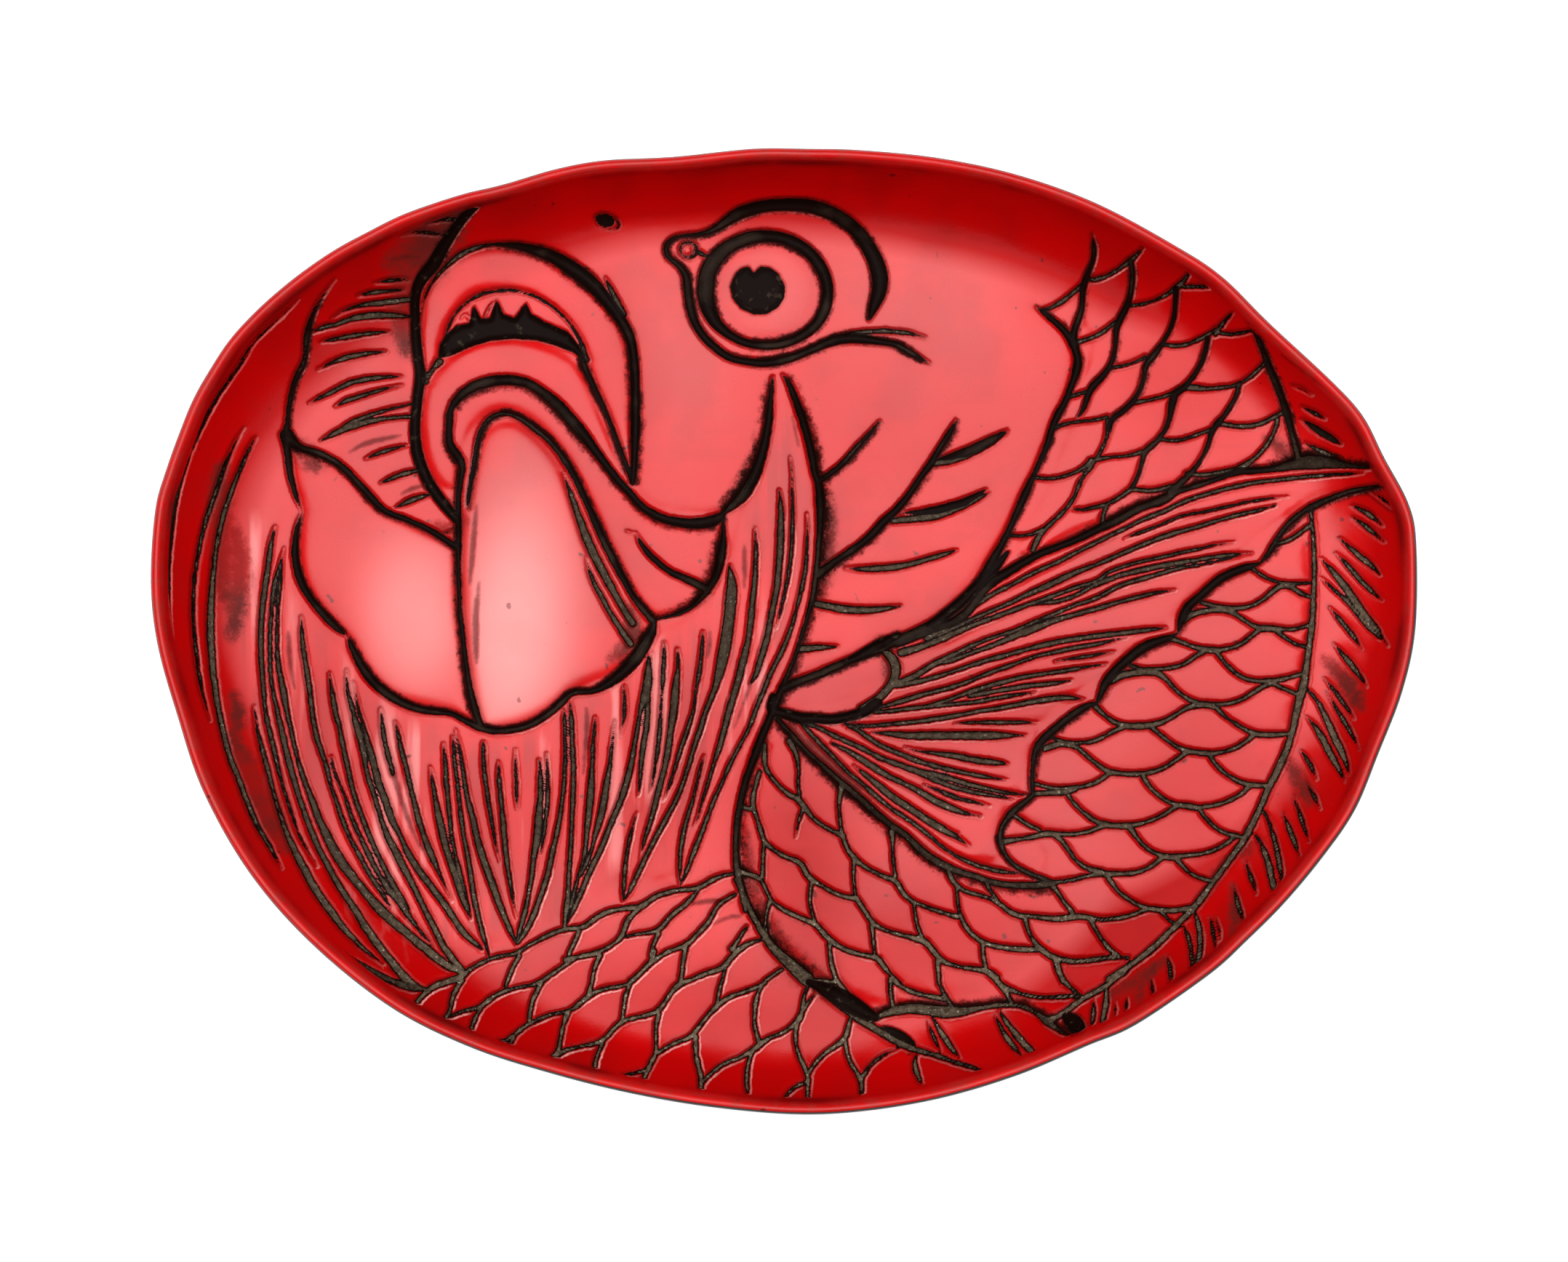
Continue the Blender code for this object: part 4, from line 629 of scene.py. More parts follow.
def eased(line, sigma):
    """The same open curve with its small corners rounded off; the ends stay where they are."""
    n = min(int(sigma * 3) + 1, len(line) - 1)
    if n < 2:
        return line
    first, last = 2 * line[0] - line[n:0:-1], 2 * line[-1] - line[-2:-n - 2:-1]
    long = np.vstack([first, line, last])
    k = np.exp(-0.5 * (np.arange(-n, n + 1) / sigma) ** 2)
    k /= k.sum()
    return np.stack([np.convolve(long[:, c], k, "valid") for c in range(long.shape[1])], axis=1)


def cut(tag, text):
    kind = tag[:1]
    side, width = "", 0.0
    if len(tag) > 1 and tag[1] in "NSEWI":
        side, width = tag[1], float(tag[2:] or 12)
    pts = read(text)
    if len(pts) < 2:
        return
    line = eased(spline(pts, 2.0), 3.0 if tag[:1] in ("f", "E", "B") else 3.6)
    middle = pts[:, :2].mean(axis=0)
    run = np.gradient(line[:, :2], axis=0)
    run /= np.linalg.norm(run, axis=1)[:, None] + 1e-9
    on_head = np.clip((620 - middle[1]) / 80, 0, 1) * np.clip((middle[0] - 540) / 40, 0, 1)
    loaded = 1.0 if kind == "B" else 0.40 + 0.60 * on_head
    for n, (x, y, w) in enumerate(line):
        half = max(w, 1.5) / 2
        js, is_, dx, dy = window(x, y, half + FAR)
        d = np.hypot(dx, dy)
        e = d - half
        if kind == "r":
            edge_r[js, is_] = np.minimum(edge_r[js, is_], e)
            continue
        if kind == "m":
            stain[js, is_] = np.maximum(stain[js, is_], np.clip(1 - d / (half * 2.0), 0, 1) ** 1.1)
            continue
        if kind == "B":
            edge_b[js, is_] = np.minimum(edge_b[js, is_], e)
        if kind in ("f", "E", "B"):
            edge_f[js, is_] = np.minimum(edge_f[js, is_], e)
            smear[js, is_] = np.maximum(smear[js, is_], 0.56 * np.clip(1 - e / 10.0, 0, 1) ** 1.4 * min(w / 8.0, 1.0) * loaded)
        edge_v[js, is_] = np.minimum(edge_v[js, is_], e)
        t = np.clip(d / half, 0, 1)
        most = 0.00125 * min(half / 5.0, 1.5) ** 0.8
        deep[js, is_] = np.maximum(deep[js, is_], most * (1 - t * t))
        if side:
            nx, ny = -run[n, 1], run[n, 0]
            want = (middle - (x, y)) if side == "I" else COMPASS[side]
            if nx * want[0] + ny * want[1] < 0:
                nx, ny = -nx, -ny
            ahead = dx * nx + dy * ny
            along = np.abs(dx * ny - dy * nx)
            v = np.clip(1 - (ahead - half) / (1.5 * width), 0, 1) ** 1.4 * (ahead > 0) * (along < 4) * min(w / 8.0, 1.0)
            smear[js, is_] = np.maximum(smear[js, is_], 0.85 * v)


for tag, text in STROKES:
    cut(tag, text)


def signed(points, polygon):
    """Distance to a polygon's edge, negative inside."""
    poly = np.array(polygon, float)
    inner = inside_distance(points, poly)
    flat = np.full(len(points), 1e9)
    for (ax, ay), (bx, by) in zip(poly, np.roll(poly, -1, axis=0)):
        ex, ey = bx - ax, by - ay
        t = np.clip(((points[:, 0] - ax) * ex + (points[:, 1] - ay) * ey) / (ex * ex + ey * ey + 1e-18), 0, 1)
        flat = np.minimum(flat, np.hypot(points[:, 0] - ax - t * ex, points[:, 1] - ay - t * ey))
    return np.where(inner > 0, -inner, flat)


def hollow(polygon, depth, shoulder):
    """A place cut away and filled with black."""
    poly = np.array(polygon, float)
    mid = poly.mean(axis=0)
    reach = np.abs(poly - mid).max() + FAR
    js, is_, dx, dy = window(mid[0], mid[1], reach)
    xx, yy = np.broadcast_arrays(dx + mid[0], dy + mid[1])
    s = signed(np.stack([xx.ravel(), yy.ravel()], axis=1), poly).reshape(xx.shape)
    edge_b[js, is_] = np.minimum(edge_b[js, is_], s)
    edge_v[js, is_] = np.minimum(edge_v[js, is_], s)
    deep[js, is_] = np.maximum(deep[js, is_], depth * np.clip(-s / shoulder, 0, 1) ** 0.7)


def ellipse(cx, cy, rx, ry, turn=0.0, n=40):
    a = np.linspace(0, 2 * math.pi, n, endpoint=False)
    x, y = rx * np.cos(a), ry * np.sin(a)
    return np.stack([cx + x * math.cos(turn) - y * math.sin(turn), cy + x * math.sin(turn) + y * math.cos(turn)], axis=1)


MOUTH = [(603, 492), (606, 472), (616, 456), (632, 446), (646, 443), (652, 418), (662, 437), (674, 436), (683, 410),
         (694, 431), (708, 436), (724, 415), (732, 431), (748, 440), (764, 447), (782, 456), (797, 474), (808, 498),
         (790, 484), (766, 474), (740, 467), (708, 464), (676, 467), (646, 476), (622, 487)]
hollow(MOUTH, 0.0018, 7.0)
PUPIL = [(1030, 365), (1037, 374), (1046, 366), (1060, 367), (1072, 376), (1080, 392), (1079, 408), (1070, 422),
         (1054, 431), (1036, 431), (1019, 423), (1008, 409), (1005, 393), (1010, 378), (1019, 368)]
hollow(PUPIL, 0.0010, 9.0)
hollow(ellipse(834, 302, 12, 8, 0.35), 0.0012, 5.0)
for tag, text in [
        ("f", "820,297,5 826,293,6 836,294,6 846,299,6 853,307,6 851,314,5 842,314,5 831,311,5 822,305,5 820,297,5"),
        ("m", "640,268,24 612,318,44 590,350,56 566,380,44 556,430,34 560,480,22"),
        ("m", "600,290,20 570,330,30 540,360,24"),
        ("m", "306,640,18 303,700,30 306,760,30 309,820,20"),
        ("m", "322,728,18 331,770,28 327,820,28 320,870,20"),
        ("m", "322,955,16 328,985,22 322,1010,14"),
        ("m", "322,1010,14 343,1060,32 368,1110,36 392,1160,24"),
        ("m", "1026,1130,8 1030,1190,14 1042,1240,20 1066,1290,28 1098,1330,34 1140,1358,30"),
        ("m", "1100,1010,12 1140,1050,22 1180,1090,24 1230,1140,20 1290,1180,14"),
        ("m", "1075,985,10 1090,1000,20 1100,1020,16"),
        ("m", "1210,880,14 1225,905,20 1222,930,14"),
        ("m", "1690,1175,10 1672,1205,16 1650,1235,14"),
        ("m", "1600,1320,12 1575,1340,16 1530,1365,14"),
        ("m", "250,560,10 238,640,14 232,720,14"),
        ("m", "1740,600,10 1768,622,24 1792,632,24 1815,636,14"),
        ("f", "935,340,5 939,332,5 948,330,6 957,334,6 960,343,6 955,352,6 946,355,5 937,350,5 935,340,5"),
        ("f", "636,538,11 625,552,11 619,567,11 618,584,11"),
        ("B", "630,450,8 621,466,15 612,482,11"),
        ("m", "402,606,14 420,622,28 436,640,20"),
        ("m", "988,702,7 1013,670,12 1033,632,11 1043,602,7"),
        ("m", "1090,543,8 1108,575,14 1121,610,13 1129,640,8"),
        ("m", "955,830,12 975,800,20 985,760,14"),
        ("m", "860,830,12 872,860,24 862,890,20 840,905,12"),
        ("m", "1126,640,8 1140,700,18 1138,770,18 1128,840,12"),
        ("f", "1386,592,5 1370,600,12 1350,611,15 1328,620,14 1304,627,9 1290,630,4"),
        ("f", "1356,672,4 1336,684,11 1310,694,13 1284,700,12 1258,703,8 1244,704,4"),
        ("B", "1386,758,5 1372,776,12 1352,797,15 1326,822,13 1300,842,10 1276,858,6"),
        ("B", "1236,872,8 1212,884,14 1186,898,12 1162,910,7"),
        ("m", "640,716,12 622,728,18 600,722,14"),
        ("", "612,470,5 618,446,6 632,424,6 652,408,7 676,400,7 706,398,7 734,405,7 760,420,7 782,441,7 798,466,8 808,494,9"),
        ("", "937,343,4 939,336,4 946,333,4 953,336,4 956,343,4 953,350,4 946,353,4 939,350,4 937,343,4"),
        ("", "648,440,4 640,428,4 634,436,3"),
        ("", "667,436,4 672,424,4 678,416,3")]:
    cut(tag, text)

# The broad shapes under the grooves, on a coarser raster.
COARSE = 4.0
cx_, cy_ = np.arange(X0, X1, COARSE), np.arange(Y0, Y1, COARSE)
mx, my = np.meshgrid(cx_, cy_)
spots = np.stack([mx.ravel(), my.ravel()], axis=1)
mass = np.zeros(len(spots))
inside = {}
SOFTER = {"upper_lip": 0.62, "lower_lip": 0.62, "eye": 0.55, "jaw_lobe": 0.6, "tongue": 0.6}
for name, share, shoulder, outline in MASSES:
    poly = closed_curve(outline, 96)
    d = inside_distance(spots, poly)
    t = np.clip(d * UNIT / shoulder, 0, 1)
    mass = np.maximum(mass, RELIEF * SOFTER.get(name, 0.8) * share * np.sqrt(1 - (1 - t) ** 2))
    inside[name] = d.reshape(mx.shape)
mass = blur(mass.reshape(mx.shape), 0.8)


def soft_spot(cx, cy, rx, ry, turn=0.0):
    c, s = math.cos(turn), math.sin(turn)
    u = ((mx - cx) * c + (my - cy) * s) / rx
    v = (-(mx - cx) * s + (my - cy) * c) / ry
    return np.exp(-(u * u + v * v) ** 1.25)


def limit(name, width):
    return np.clip(inside[name] / width, 0, 1)


# Painted highlight: lighter lacquer on the raised tongue and jaw lobe, and faint lighter patches on the eye and head.
painted_highlight = np.maximum.reduce([
    0.60 * soft_spot(706, 862, 82, 185, 0.10) * limit("tongue", 16),
    0.42 * soft_spot(572, 845, 74, 112, 0.0) * limit("jaw_lobe", 14),
    0.10 * soft_spot(1060, 398, 60, 60) * limit("eye", 20),
    0.06 * soft_spot(1290, 400, 190, 120) * limit("head", 60),
    0.06 * soft_spot(930, 480, 90, 120) * limit("head", 60),
])


# How light in colour the dust and wear in the cuts are, and how strong the painted highlight (glint) is along the scale
# edges that face the light.
ochre = np.clip(0.28 + 0.70 * soft_spot(860, 1390, 430, 190) + 0.42 * soft_spot(1250, 1330, 330, 190)
                + 0.16 * soft_spot(1560, 1200, 330, 260) + 0.30 * soft_spot(1860, 1000, 120, 420)
                - 0.15 * soft_spot(1000, 300, 700, 330)
                - 0.16 * np.clip(inside["beard"] / 24, 0, 1) - 0.08 * np.clip(inside["pectoral_fin"] / 24, 0, 1), 0, 1)
glint_strength = np.clip(0.32 + 0.45 * np.clip(inside["beard"] / 20, 0, 1) + 0.35 * np.clip(inside["pectoral_fin"] / 20, 0, 1) + 0.70 * soft_spot(850, 1370, 420, 200) - 0.10 * soft_spot(1500, 1100, 300, 300), 0, 1)
# How much each groove edge faces the light; this sets the painted highlight and painted shade beside the grooves.
slope_y, slope_x = np.gradient(blur(edge_v, 0.8), CELL)
toward = 0.72 * slope_x + 0.69 * slope_y


shadowed = np.maximum.reduce([
    0.42 * soft_spot(1105, 1190, 95, 190, -0.35), 0.38 * soft_spot(930, 1400, 380, 105, 0.05),
    0.34 * soft_spot(900, 1060, 90, 150, 0.3), 0.30 * soft_spot(1330, 960, 150, 60, -0.15),
    0.26 * soft_spot(1640, 500, 120, 110), 0.30 * soft_spot(450, 1000, 100, 170, -0.4), 0.22 * soft_spot(700, 1130, 230, 90), 0.32 * soft_spot(1280, 1290, 220, 95), 0.24 * soft_spot(1650, 1090, 110, 160, 0.4), 0.40 * soft_spot(1690, 470, 80, 90)])


def sample(raster, x, y, step):
    h, w = raster.shape
    fx = np.clip((x - X0) / step, 0, w - 1.001)
    fy = np.clip((y - Y0) / step, 0, h - 1.001)
    i, j = fx.astype(int), fy.astype(int)
    u, v = fx - i, fy - j
    return ((raster[j, i] * (1 - u) + raster[j, i + 1] * u) * (1 - v)
            + (raster[j + 1, i] * (1 - u) + raster[j + 1, i + 1] * u) * v)


# ---------------------------------------------------------------- the tray's outline and section
DENSE = 8 * K
edge = to_metres(closed_curve(OUTLINE, DENSE))[::-1]
half_way = 0.5 * (edge.max(axis=0) + edge.min(axis=0))
edge = edge - half_way
edge[:, 0] *= LENGTH / (edge[:, 0].max() - edge[:, 0].min())
edge = blur_ring(edge, 0.0012)
tangent = blur_ring(np.roll(edge, -1, axis=0) - np.roll(edge, 1, axis=0), 0.0169)
tangent /= np.linalg.norm(tangent, axis=1)[:, None]
inward = np.stack([-tangent[:, 1], tangent[:, 0]], axis=1)
calm_edge = blur_ring(edge, 0.0293)

section = spline([(o * 1000, z * 1000) for o, z in OUTER_WALL + RIM + INNER_WALL + [(FLOOR_START, FLOOR_Z)]], 0.42) / 1000
turn_at = int(np.argmin(np.hypot(section[:, 0] - RIM[-1][0], section[:, 1] - RIM[-1][1])))
outer = section[:turn_at]              # from the foot, up and over the rim
cove = section[turn_at:]               # from the rim's inner edge down to the floor


def place(index, offset):
    """Points of the ring `offset` inside the outer edge; index is a position round the ring, 0 to DENSE."""
    i = np.floor(index).astype(int)
    f = (index - i)[:, None]
    a, b = i % DENSE, (i + 1) % DENSE
    calm = np.clip((offset - 0.004) / 0.018, 0, 1)[:, None]
    e = edge[a] * (1 - f) + edge[b] * f
    c = calm_edge[a] * (1 - f) + calm_edge[b] * f
    n = inward[a] * (1 - f) + inward[b] * f
    return e * (1 - calm) + c * calm + n * offset[:, None]


side = 2 * K + 1
lin = np.arange(-K, K + 1) / K
A, B = np.meshgrid(lin, lin)           # A along columns, B along rows
A, B = A.ravel(), B.ravel()
wide = np.abs(A) >= np.abs(B)
r = np.where(wide, np.abs(A), np.abs(B))
with np.errstate(divide="ignore", invalid="ignore"):
    phi = np.where(wide, np.where(A == 0, 0, math.pi / 4 * B / A) + np.where(A < 0, math.pi, 0),
                   math.pi / 2 - math.pi / 4 * np.where(B == 0, 0, A / B) + np.where(B < 0, math.pi, 0))
phi = np.nan_to_num(phi) % (2 * math.pi)
index = phi / (2 * math.pi) * DENSE
wall = np.clip((r - FLOOR_SHARE) / (1 - FLOOR_SHARE), 0, 1)
offset = FLOOR_START + (cove[0, 0] - FLOOR_START) * wall
flat = place(index, offset) * np.where(r < FLOOR_SHARE, r / FLOOR_SHARE, 1.0)[:, None]
depth_of = np.where(r < FLOOR_SHARE, FLOOR_START, offset)
base_z = np.interp(depth_of, cove[:, 0], cove[:, 1])
grid = np.column_stack([flat, base_z])

rings = []
turn = np.arange(DENSE, dtype=float)
for o, z in outer:
    rings.append(np.column_stack([place(turn, np.full(DENSE, o)), np.full(DENSE, z)]))
foot = [rings[0] * [s, s, 1] for s in (0.05, 0.3, 0.62, 0.9)]
n_grid = len(grid)
below = np.vstack(foot + rings)        # centre of the foot outward, then up the wall and over the rim
co = np.vstack([grid, below, [[0.0, 0.0, 0.0]]])

# Where each point lies on the sheet, as the drawing is laid on it from straight above the middle.
look = (CAMERA_Z - RIM_Z) / (CAMERA_Z - co[:, 2])
sx = SHEET_CX + (co[:, 0] * look + half_way[0]) / UNIT
sy = SHEET_CY - (co[:, 1] * look + half_way[1]) / UNIT
is_top = np.zeros(len(co), bool)
is_top[:n_grid] = True

e_v = sample(edge_v, sx, sy, CELL)
e_r = sample(edge_r, sx, sy, CELL)
e_f = sample(edge_f, sx, sy, CELL)
side_v = sample(toward, sx, sy, CELL)
ochre_v = sample(ochre, sx, sy, COARSE)
glint_strength_v = sample(glint_strength, sx, sy, COARSE)
strand_v = sample(np.clip(inside["beard"] / 30, 0, 1), sx, sy, COARSE)
e_b = sample(edge_b, sx, sy, CELL)
rub = sample(smear, sx, sy, CELL)
stain_v = sample(blur(stain, 3.0), sx, sy, CELL)
cut_z = sample(deep, sx, sy, CELL)
swell = sample(mass, sx, sy, COARSE)
painted_highlight_v = sample(painted_highlight, sx, sy, COARSE)

hold = np.ones(len(co))
hold[:n_grid] = np.clip((depth_of - cove[0, 0]) / 0.0016, 0, 1)
rise = np.zeros(len(co))
rise[:n_grid] = np.clip((depth_of - 0.010) / 0.018, 0, 1) ** 2 * (3 - 2 * np.clip((depth_of - 0.010) / 0.018, 0, 1))
pillow = 0.00055 * (1 - np.exp(-np.clip(e_v, 0, FAR) / 9.0))
hand = (np.sin(sx * 0.031 + 2 * np.sin(sy * 0.017)) + np.sin(sy * 0.043 + 1.7 * np.sin(sx * 0.021))) * 0.00006
dz = swell * rise + (pillow - 0.00055 * 0.6 + hand) * hold * np.maximum(rise, 0.45) - cut_z * hold
dz -= 0.00018 * np.clip(-e_r / 3.0, 0, 1) * hold
co[:n_grid, 2] += dz[:n_grid]
for name in (e_v, e_r, e_b, e_f):
    name[~is_top] = FAR
strand_v[~is_top] = 0
side_v[~is_top] = 0
rub[~is_top] = 0
stain_v[~is_top] = 0
painted_highlight_v[~is_top] = 0
blend_in = hold[:n_grid]
e_v[:n_grid] = e_v[:n_grid] * blend_in + FAR * (1 - blend_in)
e_b[:n_grid] = e_b[:n_grid] * blend_in + FAR * (1 - blend_in)
rub[:n_grid] *= blend_in
stain_v[:n_grid] *= blend_in

# Worn and rubbed rim, and the black back that laps up onto its outer edge; the lap rises higher towards the lower right
# as a painted dark edge line (painted shade). Painted shade also darkens the crease and the cove.
back = np.zeros(len(co))
first = n_grid + len(foot) * DENSE
for k, (o, z) in enumerate(outer):
    rows = slice(first + k * DENSE, first + (k + 1) * DENSE)
    # Painted shade: the black lap rises higher on the edges facing the lower right.
    facing = np.clip(-(inward[:, 0] * 0.62 - inward[:, 1] * 0.78), -1, 1)
    lap = 0.02700 + 0.00070 * np.clip(0.25 + facing * 1.25, 0, 1)
    before_top = k < int(np.argmax(outer[:, 1]))
    back[rows] = np.clip((lap - z) / 0.0006 + 0.5, 0, 1) if before_top else 0.0
back[n_grid:first] = 1.0
back[-1] = 1.0
crease = np.zeros(len(co))
crease[:n_grid] = np.exp(-((depth_of - 0.0039) / 0.0008) ** 2)
cove_shade_v = np.zeros(len(co))
ring_angle = np.degrees(np.arctan2(flat[:, 1], flat[:, 0])) % 360
inset = np.where(r < FLOOR_SHARE, FLOOR_START + (1 - r / FLOOR_SHARE) * np.hypot(*place(index, offset).T), depth_of)
reach, full = np.interp(ring_angle, *np.array(COVE_SHADE).T[[0, 1]]) / 1000, np.interp(ring_angle, *np.array(COVE_SHADE).T[[0, 2]])
# Painted shade in the cove; below, it is taken off the raised upper lip and joined with the painted shadowed spots.
cove_shade_v[:n_grid] = full * np.clip((reach - inset) / 0.0100 + 0.5, 0, 1) ** 1.1 * np.clip((depth_of - cove[0, 0]) / 0.0010, 0, 1)
lifted = sample(np.clip(inside["upper_lip"] / 10, 0, 1), sx, sy, COARSE)
cove_shade_v[:n_grid] *= 1 - 0.85 * lifted[:n_grid]
cove_shade_v[:n_grid] = np.maximum(cove_shade_v[:n_grid], sample(shadowed, sx, sy, COARSE)[:n_grid])
rim = np.zeros(len(co))
rim[:n_grid] = np.clip(1 - (depth_of - cove[0, 0]) / 0.0008, 0, 1)
for k in range(len(outer)):
    rim[first + k * DENSE:first + (k + 1) * DENSE] = 1.0

# ---------------------------------------------------------------- faces
col, row = np.meshgrid(np.arange(side - 1), np.arange(side - 1))
a = (row * side + col).ravel()
quads = [np.stack([a, a + 1, a + side + 1, a + side], axis=1)]
steps = np.arange(K)
border = np.concatenate([
    (K + steps) * side + 2 * K,
    2 * K * side + (2 * K - steps), 2 * K * side + (K - steps),
    (2 * K - steps) * side, (K - steps) * side,
    steps, K + steps,
    steps * side + 2 * K,
])
lines = [n_grid + k * DENSE + np.arange(DENSE) for k in range(len(foot) + len(rings))] + [border]
for lower, upper in zip(lines, lines[1:]):
    quads.append(np.stack([lower, np.roll(lower, -1), np.roll(upper, -1), upper], axis=1))
quads = np.vstack(quads)
centre = len(co) - 1
fans = np.stack([np.roll(lines[0], -1), lines[0], np.full(DENSE, centre)], axis=1)

mesh = bpy.data.meshes.new("carved_tray_look")
mesh.vertices.add(len(co))
mesh.vertices.foreach_set("co", co.astype(np.float32).ravel())
loops = np.concatenate([quads.ravel(), fans.ravel()]).astype(np.int32)
mesh.loops.add(len(loops))
mesh.loops.foreach_set("vertex_index", loops)
starts = np.concatenate([np.arange(len(quads)) * 4, len(quads) * 4 + np.arange(len(fans)) * 3]).astype(np.int32)
mesh.polygons.add(len(starts))
mesh.polygons.foreach_set("loop_start", starts)
mesh.polygons.foreach_set("use_smooth", np.ones(len(starts), bool))
mesh.update(calc_edges=True)
mesh.validate()

# One flat map: the inside and rim above, the back small below it.
under_face = np.zeros(len(starts), bool)
peak = int(np.argmax(outer[:, 1]))
ring_faces = DENSE * (len(foot) + peak - 3)
top_quads = (side - 1) ** 2
under_face[top_quads:top_quads + ring_faces] = True
under_face[len(quads):] = True
of_loop = np.concatenate([np.repeat(np.arange(len(quads)), 4), len(quads) + np.repeat(np.arange(len(fans)), 3)])
under = under_face[of_loop]
px, py = co[loops, 0], co[loops, 1]
u = np.where(under, 0.155 + px * 0.76, 0.5 + px / 0.366)
v = np.where(under, 0.110 + py * 0.76, 0.610 + py / 0.366)
uv = mesh.uv_layers.new(name="OFBake")
uv.data.foreach_set("uv", np.stack([u, v], axis=1).astype(np.float32).ravel())

for name, values in (("groove", e_v), ("scratch", e_r), ("black", e_b), ("rub", rub), ("painted_highlight", painted_highlight_v),
                     ("back", back), ("crease", crease), ("rim", rim), ("cove", cove_shade_v),
                     ("outline", e_f), ("side", side_v), ("ochre", ochre_v), ("stain", stain_v), ("painted_glint", glint_strength_v), ("strands", strand_v)):
    layer = mesh.attributes.new(name, "FLOAT", "POINT")
    layer.data.foreach_set("value", values.astype(np.float32))

tray = bpy.data.objects.new("carved_tray_look", mesh)
bpy.context.scene.collection.objects.link(tray)

# ---------------------------------------------------------------- material
mat = bpy.data.materials.new("red_lacquer")
mat.use_nodes = True
nt = mat.node_tree
nodes, links = nt.nodes, nt.links
bsdf = next(n for n in nodes if n.type == "BSDF_PRINCIPLED")
coords = nodes.new("ShaderNodeTexCoord")


def put(socket, value):
    if hasattr(value, "is_linked") or hasattr(value, "links"):
        links.new(value, socket)
    else:
        socket.default_value = value


def attribute(name):
    n = nodes.new("ShaderNodeAttribute")
    n.attribute_name = name
    return n.outputs["Fac"]


def maths(op, a, b=0.0, clamp=False):
    n = nodes.new("ShaderNodeMath")
    n.operation = op
    n.use_clamp = clamp
    put(n.inputs[0], a)
    put(n.inputs[1], b)
    return n.outputs[0]


def ramp(value, from_, to, low=0.0, high=1.0, kind="SMOOTHSTEP"):
    n = nodes.new("ShaderNodeMapRange")
    n.interpolation_type = kind
    flip = from_ > to
    put(n.inputs[0], value)
    n.inputs[1].default_value = min(from_, to)
    n.inputs[2].default_value = max(from_, to)
    n.inputs[3].default_value = high if flip else low
    n.inputs[4].default_value = low if flip else high
    return n.outputs[0]


def noise(scale, detail=2.0, rough=0.5, stretch=None):
    n = nodes.new("ShaderNodeTexNoise")
    if stretch:
        m = nodes.new("ShaderNodeMapping")
        m.inputs["Scale"].default_value = stretch
        links.new(coords.outputs["Object"], m.inputs["Vector"])
        links.new(m.outputs[0], n.inputs["Vector"])
    else:
        links.new(coords.outputs["Object"], n.inputs["Vector"])
    n.inputs["Scale"].default_value = scale
    n.inputs["Detail"].default_value = detail
    n.inputs["Roughness"].default_value = rough
    return n.outputs["Fac"]


def mix(fac, a, b):
    n = nodes.new("ShaderNodeMix")
    n.data_type = "RGBA"
    put(n.inputs[0], fac)
    for socket, value in ((n.inputs[6], a), (n.inputs[7], b)):
        if isinstance(value, tuple):
            socket.default_value = (*value, 1.0)
        else:
            links.new(value, socket)
    return n.outputs[2]


n_fine = noise(1500, 3)
n_mid = noise(420, 3)
n_soft = noise(60, 4)
n_wide = noise(14, 3)
grain = noise(90, 4, 0.6, (0.18, 2.2, 1.0))

jitter = maths("ADD", maths("MULTIPLY", maths("SUBTRACT", n_mid, 0.5), 3.4), maths("MULTIPLY", maths("SUBTRACT", n_fine, 0.5), 2.2))
g = maths("ADD", maths("ADD", attribute("groove"), 0.7), jitter)
in_groove = ramp(g, 0.3, -0.9)
core = ramp(g, -1.6, -3.0)
in_outline = ramp(maths("ADD", attribute("outline"), jitter), 1.0, -1.0)
toward_light = attribute("side")
lit = maths("MAXIMUM", toward_light, 0.0)
shade = maths("MAXIMUM", maths("MULTIPLY", toward_light, -1.0), 0.0)
# Painted shade: a darker red band beside every groove, wider and darker on the side turned from the light.
groove_edge_shade = maths("MULTIPLY", ramp(g, 7.0, -0.5), maths("ADD", 0.45, maths("MULTIPLY", shade, 0.55)))
# Painted highlight: a light line just outside each groove, on the side that faces the light.
glint = maths("MULTIPLY", maths("MULTIPLY", ramp(g, 0.2, 1.4), ramp(g, 4.0, 1.8)), maths("MULTIPLY", lit, attribute("painted_glint")))
glint = maths("MULTIPLY", glint, ramp(n_soft, 0.36, 0.64, 0.20, 0.85), clamp=True)

# lacquer
red = mix(ramp(n_wide, 0.3, 0.7), RED_A, RED_B)
red = mix(ramp(n_soft, 0.42, 0.78, 0.0, 0.30), red, RED_C)
red = mix(ramp(noise(36, 5, 0.55), 0.44, 0.68, 0.0, 0.55), red, RED_SHADE)
red = mix(ramp(grain, 0.48, 0.74, 0.0, 0.18), red, RED_D)
# Painted highlight and shade along the beard strands: light pink streaks for the lit ridges, dark red streaks for the
# shaded valleys.
ridge_light_streak = noise(150, 3, 0.5, (1.0, 0.09, 1.0))
red = mix(maths("MULTIPLY", attribute("strands"), ramp(ridge_light_streak, 0.52, 0.66, 0.0, 0.42)), red, HIGHLIGHT_PINK)
red = mix(maths("MULTIPLY", attribute("strands"), ramp(ridge_light_streak, 0.49, 0.36, 0.0, 0.80)), red, RED_SHADE)
# Painted highlight on the tongue, jaw lobe, eye and head.
red = mix(maths("MULTIPLY", attribute("painted_highlight"), ramp(n_soft, 0.2, 0.6, 0.86, 1.0)), red, HIGHLIGHT_PINK)
# Painted shade: darker lacquer in the cove.
red = mix(attribute("cove"), red, mix(ramp(n_soft, 0.35, 0.75), COVE_SHADE_A, COVE_SHADE_B))
worn_rim = maths("MULTIPLY", attribute("rim"), ramp(noise(230, 4, 0.6), 0.40, 0.66, 0.25, 0.85))
red = mix(worn_rim, red, RIM_RED)
